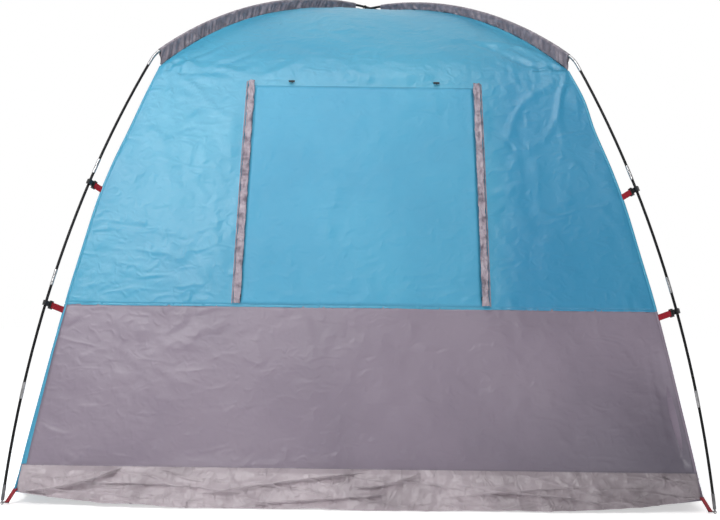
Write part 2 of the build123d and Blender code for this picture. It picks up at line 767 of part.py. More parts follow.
with BuildPart() as corner_rings:
    for angle in LEGS.values():
        outwards = upright(angle).x_dir
        pin_place = outwards * pin_rho + Vector(0, 0, RING_HEIGHT)
        level = Plane(origin=pin_place, x_dir=outwards, z_dir=(0, 0, 1))
        with BuildLine(level) as ring_line:
            FilletPolyline(*ring_path_points, radius=3.5, close=True)
        ring_path = ring_line.wires()[0]
        with BuildSketch(Plane(origin=ring_path @ 0, z_dir=ring_path % 0)) as wire:
            Circle(RING_WIRE)
        sweep(wire.sketch, path=ring_path)
save(corner_rings, "corner_rings")

with BuildPart() as corner_pins:
    for angle in LEGS.values():
        plane = upright(angle)
        foot = (pin_rho, RING_HEIGHT)
        top = point_at(LEG, angle_at(LEG, PIN_TOP))
        eye_top = point_at(LEG, angle_at(LEG, RING_HEIGHT + EYE_RADIUS))
        hub = Axis(origin=plane.from_local_coords(foot), direction=plane.z_dir)
        with BuildSketch(Plane(origin=plane.from_local_coords((pin_rho, RING_HEIGHT + EYE_RADIUS)),
                               x_dir=(0, 0, 1), z_dir=plane.x_dir)) as eye:
            Circle(RING_WIRE)
        revolve(eye.sketch, axis=hub, revolution_arc=360)
        start = plane.from_local_coords(eye_top)
        end = plane.from_local_coords(top)
        with BuildSketch(Plane(origin=start, z_dir=end - start)) as stem:
            Circle(PIN_RADIUS)
        extrude(stem.sketch, amount=(end - start).length)
save(corner_pins, "corner_pins")

with BuildPart() as corner_straps:
    for angle in LEGS.values():
        bar = (pin_rho - RING_LENGTH, RING_HEIGHT)
        corner = point_at(WALL, angle_at(WALL, CORNER_HEIGHT))
        run = hypot(bar[0] - corner[0], bar[1] - corner[1])
        slope = radians(direction(corner, bar))
        plane = upright(angle)
        along = plane.x_dir * cos(slope) + Vector(0, 0, 1) * sin(slope)
        strap_plane = Plane(origin=plane.from_local_coords(bar), x_dir=along, z_dir=plane.z_dir)
        webbing(strap_plane, run - STRAP_END_GAP - 1, thickness=2.4, bore=2.0, loop=CORNER_LOOP)
save(corner_straps, "corner_straps")
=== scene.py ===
import math

import bmesh
import bpy
import numpy as np
from mathutils import Matrix, Vector


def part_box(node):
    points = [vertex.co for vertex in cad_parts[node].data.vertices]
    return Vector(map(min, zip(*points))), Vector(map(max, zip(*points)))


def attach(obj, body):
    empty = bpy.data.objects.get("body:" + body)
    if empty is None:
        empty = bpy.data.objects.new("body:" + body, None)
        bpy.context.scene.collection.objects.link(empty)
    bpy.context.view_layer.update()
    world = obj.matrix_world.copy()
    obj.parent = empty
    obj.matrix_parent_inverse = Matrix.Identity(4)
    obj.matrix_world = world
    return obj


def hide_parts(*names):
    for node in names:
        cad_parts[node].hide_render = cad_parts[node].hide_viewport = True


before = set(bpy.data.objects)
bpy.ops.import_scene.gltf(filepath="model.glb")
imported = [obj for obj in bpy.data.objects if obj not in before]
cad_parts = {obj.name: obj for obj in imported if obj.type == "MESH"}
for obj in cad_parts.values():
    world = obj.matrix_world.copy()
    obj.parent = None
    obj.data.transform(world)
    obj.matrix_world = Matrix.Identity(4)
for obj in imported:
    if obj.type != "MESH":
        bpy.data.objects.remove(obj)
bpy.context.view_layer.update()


# ---------------- camera
CAMERA_PLACE = Vector((0, -6.4, 0.755))
CAMERA_LENS = 65.5
CAMERA_ROLL = math.radians(0.75)

camera = bpy.data.objects.new("camera", bpy.data.cameras.new("camera"))
bpy.context.scene.collection.objects.link(camera)
camera.data.lens = CAMERA_LENS
camera.data.shift_x = -0.0015
camera.data.shift_y = 0.0735
camera.matrix_world = (
    Matrix.Translation(CAMERA_PLACE)
    @ Matrix.Rotation(math.pi / 2, 4, "X")
    @ Matrix.Rotation(CAMERA_ROLL, 4, "Z")
)
bpy.context.scene.camera = camera


# ---------------- the tent's measures, in metres
ROOT2 = math.sqrt(2)
UP = np.array([0, 0, 1.0])
SIDES = {"front": -90, "right": 0, "back": 90, "left": 180}
LEGS = {"front_left": -135, "front_right": -45, "rear_right": 45, "rear_left": 135}
UPPER_POLE_LEGS = ("front_left", "rear_right")
FOOT = (2.740 / ROOT2, 0.0)
SHOULDER = (1.250, 1.8325)
LEG_BOW, WALL_BOW = 0.108, 0.062
APEX = 2.250
CROSSING_DROP = 0.0122
SEAM_DROP = 0.052  # from the pole in to the roof's seam, at the shoulder
ROOF_TOP = 2.213
WALL_FOOT, WALL_BOTTOM = 1.891, 0.002
BAND_TOP = 0.778
SKIRT_TOP = 0.148
WINDOW_LOW, WINDOW_HIGH = 0.786, 1.705
OPENING_LOW, OPENING_HIGH = 0.816, 1.675
STRIP_LOW, STRIP_HIGH = 0.497, 0.472  # storm strips' centre lines from the wall's middle
STRIP_HALF = 0.016
TOGGLE_PLACE = (0.304, 1.722)
DOOR_HALF, DOOR_LOW, DOOR_HIGH, DOOR_ROUND, DOOR_GAP = 0.370, 0.175, 1.560, 0.180, 0.012
HOOK_HEIGHTS = (0.778, 1.270)
FABRIC, THIN_FABRIC = 0.0009, 0.0008  # thickness that the cloth shows at its edges
CELL = 0.0135  # spacing of the cloth's mesh
TABLE_STEPS = 300  # in the tables that turn heights into distances along the cloth


def lengths_along(points):
    """How far along the line each of its points lies."""
    return np.concatenate([[0], np.cumsum(np.linalg.norm(np.diff(points, axis=0), axis=1))])


def compass(degrees):
    """Level directions: outwards on this bearing, and to the right as seen from outside."""
    angle = math.radians(degrees)
    return np.array([math.cos(angle), math.sin(angle), 0]), np.array([-math.sin(angle), math.cos(angle), 0])


def bowed_arc(low, high, bow):
    """Centre and radius of the arc from low to high that stands out from its chord by bow."""
    chord = math.dist(low, high)
    radius = chord**2 / (8 * bow) + bow / 2
    shift = bow - radius
    return (
        (low[0] + high[0]) / 2 + shift * (high[1] - low[1]) / chord,
        (low[1] + high[1]) / 2 + shift * (low[0] - high[0]) / chord,
        radius,
    )


def crown_arc(top, point):
    """Centre and radius of the arc over the tent's axis that peaks at top and passes through point."""
    drop = top - point[1]
    radius = (point[0] ** 2 + drop**2) / (2 * drop)
    return (0.0, top - radius, radius)


LEG = bowed_arc(FOOT, SHOULDER, LEG_BOW)
POLE_ROOFS = {True: crown_arc(APEX, SHOULDER), False: crown_arc(APEX - CROSSING_DROP, SHOULDER)}
roof_turn = math.atan2(SHOULDER[1] - POLE_ROOFS[True][1], SHOULDER[0])
seam_reach = POLE_ROOFS[True][2] - SEAM_DROP
SEAM_CORNER = (seam_reach * math.cos(roof_turn), POLE_ROOFS[True][1] + seam_reach * math.sin(roof_turn))
WALL = bowed_arc((WALL_FOOT, WALL_BOTTOM), SEAM_CORNER, WALL_BOW)
ROOF = crown_arc(ROOF_TOP, SEAM_CORNER)
CREASE = SEAM_CORNER[1]
CREASE_TURN = math.atan2(SEAM_CORNER[1] - ROOF[1], SEAM_CORNER[0])


def wall_turn(height):
    return np.arcsin((height - WALL[1]) / WALL[2])


def wall_half(height):
    """Half the tent's width at this height of the walls."""
    return (WALL[0] + WALL[2] * np.cos(wall_turn(height))) / ROOT2


def roof_half(turn):
    return ROOF[2] * np.cos(turn) / ROOT2


table_heights = np.linspace(WALL_BOTTOM, CREASE, TABLE_STEPS)
table_runs = lengths_along(np.stack([wall_half(table_heights), table_heights], axis=1))
table_turns = np.linspace(CREASE_TURN, math.pi / 2, TABLE_STEPS)
roof_line = np.stack([roof_half(table_turns), ROOF[1] + ROOF[2] * np.sin(table_turns)], axis=1)
roof_runs = lengths_along(roof_line) + table_runs[-1]
CREASE_RUN, TOP_RUN = table_runs[-1], roof_runs[-1]


def strip_line(height):
    """Distance of a storm strip's centre line from the wall's middle."""
    return STRIP_LOW + (height - WINDOW_LOW) / (WINDOW_HIGH - WINDOW_LOW) * (STRIP_HIGH - STRIP_LOW)


def ease(x):
    """0 below 0, 1 above 1, and smooth between."""
    x = np.clip(x, 0, 1)
    return x * x * (3 - 2 * x)


def bump_at(x, middle, reach):
    """1 at the middle, falling smoothly to 0 at reach on each side."""
    return ease(1 - np.abs(x - middle) / reach)


def paired(one, two):
    """Two measures along the cloth as points of its flat pattern."""
    return np.stack(np.broadcast_arrays(one, two), axis=-1)


def placed(side, out, across, height):
    """Points of one side of the tent, from their distances out from its axis, to the right and up."""
    outwards, rightwards = compass(SIDES[side])
    out, across, height = (part[..., None] for part in np.broadcast_arrays(out, across, height))
    return out * outwards + across * rightwards + height * UP


# ---------------- wrinkles: how high each kind stands
BROAD, MIDDLE, FOLDED, FINE, NIPPED = 0.0036, 0.0013, 0.0024, 0.00045, 0.0010
TOP_FAN, HOOK_FAN, FOOT_FAN = 0.0130, 0.0036, 0.0050  # folds that start at the shoulders, hooks and feet
FOOT_RUN = 0.12  # how far up the cloth the feet's folds start
PUCKERED, PUCKER_REACH = 0.0011, 0.028  # small gathers along the level seams
CORNER_RIDGES = ((0.042, 0.0048), (0.078, 0.0036), (0.125, 0.0022))  # distance in from the corner, height
CORNER_HOLLOW = 0.045  # how deep the band sinks in beside its right corner
CALM_FADE = 0.05  # the cloth lies flat near the window and door, and wrinkles again within this distance


def ripple(seed, count, shortest, longest, tilt=(0, math.pi)):
    """A smooth random field of x and y, about 1 high, whose waves are between these lengths."""
    rng = np.random.default_rng(seed)
    lengths = np.exp(rng.uniform(math.log(shortest), math.log(longest), count))
    turns = rng.uniform(*tilt, count)
    phases = rng.uniform(0, 2 * math.pi, count)
    weights = (lengths / longest) ** 0.7
    weights /= math.sqrt((weights**2).sum() / 2) * 1.6

    def field(x, y):
        total = 0
        for length, turn, phase, weight in zip(lengths, turns, phases, weights):
            k = 2 * math.pi / length
            total = total + weight * np.sin(k * (x * math.cos(turn) + y * math.sin(turn)) + phase)
        return total

    return field


def creases(field, width):
    """Narrow ridges along the lines where the field crosses zero."""
    return lambda x, y: np.exp(-((field(x, y) / width) ** 2))


def fan(seed, rays, spread, reach):
    """Folds that run out from a point, dying away over reach: a function of the offset from the point."""
    rng = np.random.default_rng(seed)
    turns = rng.uniform(*spread, rays)
    widths = rng.uniform(0.025, 0.07, rays)
    sizes = rng.uniform(0.35, 1.0, rays) * rng.choice([-1, 1, 1], rays)
    lengths = rng.uniform(0.4, 1.2, rays) * reach

    def field(dx, dy):
        away = np.hypot(dx, dy)
        turn = np.arctan2(dy, dx)
        total = 0
        for at, width, size, length in zip(turns, widths, sizes, lengths):
            bent = at + 0.12 * np.sin(away / reach * 4 + at * 9)
            total = total + size * np.exp(-(((turn - bent) / width) ** 2)) * np.exp(-away / length)
        return total * ease(away / 0.05)

    return field


class Cloth:
    """How far the fabric of one side stands off its smooth surface."""

    def __init__(self, side, seed):
        self.side = side
        self.broad = ripple(seed, 14, 0.35, 1.1)
        self.middle = ripple(seed + 1, 22, 0.07, 0.26)
        self.patches = ripple(seed + 2, 8, 0.25, 0.8)
        self.folds = creases(ripple(seed + 3, 18, 0.10, 0.5), 0.10)
        self.fine = ripple(seed + 4, 26, 0.022, 0.06)
        self.nips = creases(ripple(seed + 20, 22, 0.045, 0.16), 0.14)
        self.pucker = ripple(seed + 5, 16, 0.012, 0.05, tilt=(-0.25, 0.25))
        self.top_fans = [fan(seed + 6 + n, 13, (-1.35, 0.75), 0.34) for n in range(2)]
        self.hook_fans = [fan(seed + 8 + n, 7, (-0.8, 0.8), 0.15) for n in range(4)]
        self.foot_fans = [fan(seed + 14 + n, 8, (0.15, 1.35), 0.24) for n in range(2)]

    def fanned(self, across, run):
        """Folds that run out from the shoulders, hooks and feet, at the right edge and then the left."""
        hooks = [(wall_half(level), np.interp(level, table_heights, table_runs)) for level in HOOK_HEIGHTS]
        off = 0
        for high, fields, starts in (
            (TOP_FAN, self.top_fans, [(SEAM_CORNER[0] / ROOT2, CREASE_RUN)]),
            (HOOK_FAN, self.hook_fans, hooks),
            (FOOT_FAN, self.foot_fans, [(wall_half(SKIRT_TOP), FOOT_RUN)]),
        ):
            for n, field in enumerate(fields):
                half, level_run = starts[n // 2]
                hand = 1 - 2 * (n % 2)
                off = off + high * field(half - hand * across, run - level_run)
        return off

    def right_corner(self, across, run, height, out):
        """Upright ridges and a hollow beside the front right corner, on the sides that meet there."""
        edge = out - across * (1 if self.side == "front" else -1)
        hollow = (1 - ease((edge - 0.03) / 0.26)) * ease((edge - 0.004) / 0.03) * bump_at(height, 0.36, 0.36)
        off = -CORNER_HOLLOW * hollow
        for inset, high in CORNER_RIDGES:
            wander = 0.006 * np.sin(run * 7 + inset * 60)
            ridge = np.exp(-(((edge - inset - wander) / 0.0085) ** 2))
            off = off + high * ridge * bump_at(height, 0.42, 0.30)
        return off

    def calm(self, across, height):
        """0 where the cloth lies flat by the window, toggles or door, and 1 away from them."""
        if self.side == "left":
            return ease((np.abs(door_distance(across, height, DOOR_GAP / 2)) - 0.018) / CALM_FADE)
        if self.side != "front":
            return 1.0
        beside = np.abs(np.abs(across) - strip_line(height))
        by_strip = (1 - ease((beside - 0.022) / CALM_FADE)) * np.minimum(1, 4 * bump_at(height, 1.245, 0.62))
        at_hinge = ease((np.abs(height - WINDOW_HIGH) - 0.007) / CALM_FADE)
        beyond = ease((np.abs(across) - strip_line(WINDOW_HIGH) - 0.02) / CALM_FADE)
        at_toggle = np.hypot(np.abs(across) - TOGGLE_PLACE[0], height - TOGGLE_PLACE[1])
        return (1 - by_strip) * np.maximum(at_hinge, beyond) * ease((at_toggle - 0.018) / 0.04)

    def __call__(self, across, run, height, out):
        rough = 0.35 + 0.65 * ease(0.5 + 0.9 * self.patches(across, run))
        off = MIDDLE * self.middle(across, run) + FOLDED * self.folds(across, run)
        off = off + FINE * self.fine(across, run) + NIPPED * self.nips(across, run)
        off = BROAD * self.broad(across, run) + rough * off + self.fanned(across, run)
        for n, level in enumerate((BAND_TOP, CREASE, SKIRT_TOP + 0.006)):
            near = np.exp(-np.abs(height - level) / PUCKER_REACH)
            off = off + PUCKERED * near * self.pucker(across, run * 0.15 + n)
        if self.side in ("front", "right"):
            off = off + self.right_corner(across, run, height, out)
        at_edge = ease((out - np.abs(across)) / 0.024)
        under_skirt = ease((height - SKIRT_TOP - 0.004) / 0.045)
        return off * self.calm(across, height) * at_edge * (0.12 + 0.88 * under_skirt)


def door_distance(across, height, grow=0.0):
    """Distance outside the door's outline, grown all round; negative inside it."""
    half, high, low, rounding = DOOR_HALF + grow, DOOR_HIGH + grow, DOOR_LOW - grow, DOOR_ROUND + grow
    dx, dz = np.abs(across) - (half - rounding), height - (high - rounding)
    straight = np.maximum(np.abs(across) - half, np.maximum(height - high, low - height))
    return np.where((dx > 0) & (dz > 0), np.hypot(dx, dz) - rounding, straight)


CLOTHS = {side: Cloth(side, 100 * n + 7) for n, side in enumerate(SIDES)}


CORNER_LEGS = {  # the legs at each side's left and right edges, seen from outside
    "front": ("front_left", "front_right"), "right": ("front_right", "rear_right"),
    "back": ("rear_right", "rear_left"), "left": ("rear_left", "front_left"),
}
CORNER_BELLY = {"front_left": 0.001, "front_right": 0.009, "rear_right": 0.005, "rear_left": 0.006}
CORNER_FULLNESS = {"front_left": 0.016, "front_right": 0.010, "rear_right": 0.012, "rear_left": 0.012}
BELLY_PLACE, FULL_PLACE = (1.665, 0.155), (1.22, 0.60)  # the middle of each on a corner seam, and its reach
SEAM_HOLLOWS = ((0.002, 1.50, 0.16), (0.003, 1.02, 0.22), (0.003, 0.42, 0.33))  # depth, middle, reach


def edge_pull(height, leg):
    """How far a corner seam is drawn in: it bellies out under the shoulder and hollows between the hooks."""
    hollow = sum(depth * bump_at(height, middle, reach) for depth, middle, reach in SEAM_HOLLOWS)
    belly = CORNER_BELLY[leg] * bump_at(height, *BELLY_PLACE)
    return hollow - belly - CORNER_FULLNESS[leg] * bump_at(height, *FULL_PLACE)


CREASE_REACH = 0.10  # the roof rounds over into the walls within this run of the crease
EDGE_FADE = 0.20  # and the rounding fades away this near the corners


def unit(vector):
    return vector / np.linalg.norm(vector, axis=0)


def side_slope(turn):
    """Outward and upward parts of the normal of a side's smooth surface."""
    return unit(np.stack([ROOT2 * np.cos(turn), np.sin(turn)]))


SLOPES = [side_slope(np.array(turn)) for turn in (wall_turn(CREASE), CREASE_TURN)]
CREASE_SLOPE = unit(SLOPES[0] + SLOPES[1])
CREASE_HALF_BEND = math.acos(float(np.clip(SLOPES[0] @ SLOPES[1], -1, 1))) / 2


def stand(side, arc, turn, across, run, lift, wrinkled):
    """Points on one side's fabric, and where they lie on the flat cloth."""
    turn, across, run = np.broadcast_arrays(turn, across, run)
    out = (arc[0] + arc[2] * np.cos(turn)) / ROOT2
    height = arc[1] + arc[2] * np.sin(turn)
    off = lift + (CLOTHS[side](across, run, height, out) if wrinkled else 0.0)
    near = np.maximum(CREASE_REACH - np.abs(run - CREASE_RUN), 0) / CREASE_REACH
    shared = ease(near)
    slope = unit(side_slope(turn) * (1 - shared) + CREASE_SLOPE.reshape(2, *[1] * turn.ndim) * shared)
    inside = ease((out - np.abs(across)) / EDGE_FADE)
    off = off - math.tan(CREASE_HALF_BEND) * CREASE_REACH / 2 * near**2 * inside
    pull = 0.0
    if arc is WALL:
        left_leg, right_leg = CORNER_LEGS[side]
        drawn = np.where(across < 0, edge_pull(height, left_leg), edge_pull(height, right_leg))
        pull = drawn * np.abs(across / np.maximum(out, 1e-6)) ** 6
    reach, rise = out - pull + off * slope[0], height + off * slope[1]
    return placed(side, reach, across - np.sign(across) * pull, rise), paired(across, run)


def on_wall(side, across, height, lift, wrinkled=True):
    run = np.interp(height, table_heights, table_runs)
    return stand(side, WALL, wall_turn(height), across, run, lift, wrinkled)


def on_roof(side, across, turn, wrinkled):
    return stand(side, ROOF, turn, across, np.interp(turn, table_turns, roof_runs), 0.0, wrinkled)


# ---------------- meshes
MERGE, FINE_MERGE, CORD_MERGE = 0.0004, 0.00005, 0.00002  # points nearer than this become one
TENT_MIDDLE = Vector((0, 0, 0.9))  # a place inside the tent


def quads(rows, columns, keep=None):
    index = np.arange(rows * columns).reshape(rows, columns)
    corners = np.stack([index[:-1, :-1], index[:-1, 1:], index[1:, 1:], index[1:, :-1]], axis=-1)
    return corners[keep] if keep is not None else corners.reshape(-1, 4)


def patch(side, across, height, lift, wrinkled=True, keep=None):
    """A grid of one wall's cloth, ready to sew."""
    points, flat = on_wall(side, across, height, lift, wrinkled)
    return points, flat, quads(*flat.shape[:2], keep)


def area_of(points, faces):
    p = points.reshape(-1, 3)
    one = p[faces[:, 2]] - p[faces[:, 0]]
    two = p[faces[:, 3]] - p[faces[:, 1]]
    return float(np.linalg.norm(np.cross(one, two), axis=1).sum() / 2)


def sew(name, grids, merge=MERGE):
    """One mesh object from grids of (points, uv, faces)."""
    mesh = bpy.data.meshes.new(name)
    verts = np.concatenate([points.reshape(-1, 3) for points, _, _ in grids])
    flat = np.concatenate([uv.reshape(-1, 2) for _, uv, _ in grids])
    starts = np.cumsum([0] + [points.size // 3 for points, _, _ in grids])
    faces = np.concatenate([cells + start for (_, _, cells), start in zip(grids, starts)])
    mesh.from_pydata(verts.tolist(), [], faces.tolist())
    layer = mesh.uv_layers.new(name="cloth")
    layer.data.foreach_set("uv", flat[faces.reshape(-1)].astype(np.float32).reshape(-1))
    thing = bpy.data.objects.new(name, mesh)
    bpy.context.scene.collection.objects.link(thing)
    bm = bmesh.new()
    bm.from_mesh(mesh)
    bmesh.ops.remove_doubles(bm, verts=bm.verts, dist=merge)
    loose = [v for v in bm.verts if not v.link_faces]
    bmesh.ops.delete(bm, geom=loose, context="VERTS")
    bmesh.ops.recalc_face_normals(bm, faces=bm.faces)
    for face in bm.faces:
        face.smooth = True
    bm.to_mesh(mesh)
    bm.free()
    return thing


def thicken(thing, thickness, offset=-1.0):
    """Give a sheet its thickness, with its other face inwards, and apply it."""
    solid = thing.modifiers.new("thickness", "SOLIDIFY")
    solid.thickness = thickness
    solid.offset = offset
    bpy.context.view_layer.objects.active = thing
    with bpy.context.temp_override(object=thing, active_object=thing, selected_objects=[thing]):
        bpy.ops.object.modifier_apply(modifier=solid.name)


def face_outwards(thing):
    """Turn the sheet so that its faces look away from the tent's middle."""
    mesh = thing.data
    total = sum((p.center - TENT_MIDDLE).dot(p.normal) * p.area for p in mesh.polygons)
    if total < 0:
        mesh.flip_normals()


def finish_piece(thing, material, body="tent", replaces=()):
    thing.data.materials.append(material)
    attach(thing, body)
    if replaces:
        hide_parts(*replaces)
    return thing


def make(name, grids, material, body="tent", replaces=(), thickness=0.0, merge=MERGE):
    """A finished piece of cloth: sewn, facing outwards, thickened, and riding on its body."""
    thing = sew(name, grids, merge)
    face_outwards(thing)
    if thickness:
        thicken(thing, thickness)
    return finish_piece(thing, material, body, replaces)


def heights_between(low, high, *through):
    """Heights spaced about one cell, which pass through the named ones."""
    stops = [low, *through, high]
    parts = [
        np.linspace(a, b, max(2, round((b - a) / CELL) + 1))[:-1] for a, b in zip(stops[:-1], stops[1:])
    ]
    return np.concatenate(parts + [[high]])


def knotted(inner, outer, inner_cells, outer_cells):
    """Columns from -outer to outer with a knot at each edge of the inner part, row by row."""
    share = np.linspace(0, 1, inner_cells + 1)
    beyond = np.linspace(0, 1, outer_cells + 1)[1:]
    middle = -inner[:, None] + 2 * inner[:, None] * share
    right = inner[:, None] + (outer - inner)[:, None] * beyond
    return np.concatenate([-right[:, ::-1], middle, right], axis=1)


# ---------------- materials
RIDGED = "RIDGED_MULTIFRACTAL"


class Surface:
    """A procedural material under construction, measured in metres of the object or of its flat cloth."""

    def __init__(self, name, on_cloth=True):
        self.material = bpy.data.materials.new(name)
        self.material.use_nodes = True
        self.tree = self.material.node_tree
        self.shader = self.tree.nodes["Principled BSDF"]
        self.at = self.add("ShaderNodeTexCoord").outputs["UV" if on_cloth else "Object"]
        self.normal = None

    def feed(self, node, values):
        """Give a node's inputs, by name or number, their numbers, colours or links."""
        for name, value in values.items():
            target = node.inputs[name]
            if isinstance(value, (int, float)):
                target.default_value = value
            elif isinstance(value, tuple):
                target.default_value = (*value, 1) if target.type == "RGBA" else value
            elif value is not None:
                self.tree.links.new(value, target)

    def add(self, kind, values=None, **settings):
        node = self.tree.nodes.new(kind)
        for key, value in settings.items():
            setattr(node, key, value)
        self.feed(node, values or {})
        return node

    def noise(self, scale, detail=3.0, rough=0.55, distort=0.0, kind="FBM", stretch=(1, 1, 1)):
        at = self.add("ShaderNodeMapping", {"Scale": stretch, "Vector": self.at}).outputs["Vector"]
        values = {"Scale": scale, "Detail": detail, "Roughness": rough, "Distortion": distort, "Vector": at}
        return self.add("ShaderNodeTexNoise", values, noise_type=kind).outputs["Fac"]

    def wave(self, pitch, direction, distort=0.0):
        values = {"Scale": math.pi / 10 / pitch, "Distortion": distort, "Detail": 1.0, "Vector": self.at}
        return self.add("ShaderNodeTexWave", values, bands_direction=direction).outputs["Fac"]

    def weave(self, thread, operation="MULTIPLY"):
        return self.combine(self.wave(thread, "X"), self.wave(thread, "Y"), operation)

    def combine(self, one, two, operation="MULTIPLY"):
        return self.add("ShaderNodeMath", {0: one, 1: two}, operation=operation).outputs[0]

    def ramp(self, value, stops):
        node = self.add("ShaderNodeValToRGB", {"Fac": value})
        ramp = node.color_ramp
        while len(ramp.elements) < len(stops):
            ramp.elements.new(0.5)
        for element, (place, colour) in zip(ramp.elements, stops):
            element.position = place
            element.color = (*colour, 1)
        return node.outputs["Color"]

    def tint(self, tone, field, strength, colour):
        """The tone with another colour mixed in, by this strength where the field is 1."""
        factor = self.combine(field, strength)
        return self.add("ShaderNodeMix", {0: factor, 6: tone, 7: colour}, data_type="RGBA").outputs[2]

    def ranged(self, value, kind="LINEAR", **ends):
        """The value mapped between ranges, by the node's own names, such as To_Min."""
        values = {"Value": value, **{name.replace("_", " "): end for name, end in ends.items()}}
        return self.add("ShaderNodeMapRange", values, interpolation_type=kind).outputs["Result"]

    def bump(self, height, distance, strength):
        values = {"Distance": distance, "Strength": strength, "Height": height, "Normal": self.normal}
        self.normal = self.add("ShaderNodeBump", values).outputs["Normal"]

    def finish(self, colour, rough, **fixed):
        values = {name.replace("_", " "): value for name, value in fixed.items()}
        self.feed(self.shader, {"Base Color": colour, "Roughness": rough, "Normal": self.normal, **values})
        return self.material


def fabric_material(name, colour, deep, pale, thread=0.0012, crumple=0.0080, rough=(0.38, 0.50), sheen=0.06,
                    mottle=1.6, crease_shade=0.0, painted_shade=None):
    """Coated polyester: a plain weave, crumpled, with a little sheen and uneven colour; it can carry painted
    shade along its creases and across the cloth.
    """
    s = Surface(name)
    small = s.noise(22, 4.0, 0.6)
    weave = s.weave(thread)
    s.bump(s.noise(9, 5.0, 0.62, 0.6, RIDGED), crumple, 0.75)
    s.bump(s.noise(30, 5.0, 0.66, 0.5, RIDGED), 0.0030, 0.7)
    s.bump(s.noise(16, 4.0, 0.6, 1.2, RIDGED, (0.45, 1.0, 1.0)), 0.0050, 0.6)
    s.bump(weave, 0.00012, 0.5)
    tone = s.ramp(s.noise(mottle, 3.0, 0.5), ((0.32, deep), (0.5, colour), (0.72, pale)))
    tone = s.tint(tone, small, 0.16, tuple(c * 0.72 for c in colour))
    tone = s.tint(tone, weave, 0.10, pale)
    # painted shade along the creases: the sharp crease pattern that the bump raises is also darkened in colour
    if crease_shade:
        sharp = s.noise(26, 4.0, 0.6, 1.6, RIDGED, (1.0, 0.7, 1.0))
        s.bump(sharp, 0.006, 0.8)
        tone = s.tint(tone, sharp, crease_shade, deep)
    if painted_shade:  # painted shade, standing in for light that falls off: darker across and up the cloth; where it starts and ends each way, its strength and colour
        across, up, strength, shade_colour = painted_shade
        place = s.add("ShaderNodeSeparateXYZ", {0: s.at}).outputs
        fades = [
            s.ranged(place[axis], "SMOOTHSTEP", From_Min=start, From_Max=stop)
            for axis, (start, stop) in (("X", across), ("Y", up))
        ]
        tone = s.tint(tone, s.combine(*fades), strength, shade_colour)
    rough = s.ranged(small, To_Min=rough[0], To_Max=rough[1])
    return s.finish(tone, rough, Sheen_Weight=sheen, Sheen_Roughness=0.4, Specular_IOR_Level=0.8)


# painted shade: the blue darkens to the right of the window on each side, fading out towards the roof
blue = fabric_material(
    "blue_polyester", (0.036, 0.318, 0.500), (0.030, 0.288, 0.470), (0.048, 0.352, 0.535),
    painted_shade=((0.44, 0.66), (2.2, 1.6), 0.50, (0.008, 0.180, 0.390)),
)
flap_blue = fabric_material(
    "flap_polyester", (0.046, 0.330, 0.530), (0.039, 0.300, 0.495), (0.058, 0.365, 0.565), rough=(0.52, 0.64)
)
# painted shade: the grey band darkens towards its lower right on each side
grey = fabric_material(
    "grey_polyester", (0.236, 0.192, 0.250), (0.198, 0.162, 0.214), (0.272, 0.224, 0.282),
    painted_shade=((0.15, 1.25), (0.66, 0.12), 0.62, (0.075, 0.075, 0.100)),
)
sleeve_grey = fabric_material(
    "sleeve_polyester", (0.190, 0.168, 0.205), (0.110, 0.098, 0.128), (0.330, 0.290, 0.335),
    crumple=0.009, mottle=34, crease_shade=0.35,
)
strip_grey = fabric_material(
    "strip_polyester", (0.360, 0.302, 0.356), (0.150, 0.122, 0.160), (0.450, 0.390, 0.446),
    crumple=0.012, mottle=26, crease_shade=0.55,
)
# painted shade: the skirts darken towards their right ends
skirt_cloth = fabric_material(
    "skirt_sheeting", (0.450, 0.386, 0.422), (0.285, 0.240, 0.266), (0.540, 0.468, 0.505),
    thread=0.0022, crumple=0.0360, rough=(0.34, 0.5), sheen=0.1, mottle=4, crease_shade=0.22,
    painted_shade=((0.35, 1.15), (0.30, 0.15), 0.55, (0.130, 0.108, 0.122)),
)


def net_material():
    s = Surface("insect_net")
    holes = s.weave(0.0016, "MAXIMUM")
    s.bump(holes, 0.0003, 0.8)
    tone = s.ramp(holes, ((0.4, (0.02, 0.022, 0.026)), (0.9, (0.075, 0.08, 0.09))))
    tone = s.tint(tone, s.noise(14), 0.3, (0.03, 0.035, 0.045))
    return s.finish(tone, 0.7, Alpha=0.62, Specular_IOR_Level=0.2)


def sheet_material():
    s = Surface("woven_sheeting", on_cloth=False)
    weave = s.weave(0.0035)
    s.bump(s.noise(7, 4.0, 0.6, 0.4), 0.004, 0.5)
    s.bump(weave, 0.0003, 0.6)
    tone = s.ramp(s.noise(5, 4.0), ((0.35, (0.036, 0.040, 0.050)), (0.7, (0.060, 0.065, 0.078))))
    return s.finish(tone, s.ranged(weave, To_Min=0.35, To_Max=0.5), Specular_IOR_Level=0.4)


def webbing_material(name, colour, deep, pale):
    s = Surface(name)
    ribs, cross = s.wave(0.0016, "Y", 0.4), s.wave(0.0030, "X", 0.2)
    s.bump(ribs, 0.0005, 0.9)
    s.bump(cross, 0.0003, 0.6)
    tone = s.ramp(s.combine(ribs, cross), ((0.1, deep), (0.5, colour), (0.95, pale)))
    tone = s.tint(tone, s.noise(60), 0.35, deep)
    return s.finish(tone, 0.72, Sheen_Weight=0.1, Sheen_Roughness=0.5, Specular_IOR_Level=0.25)


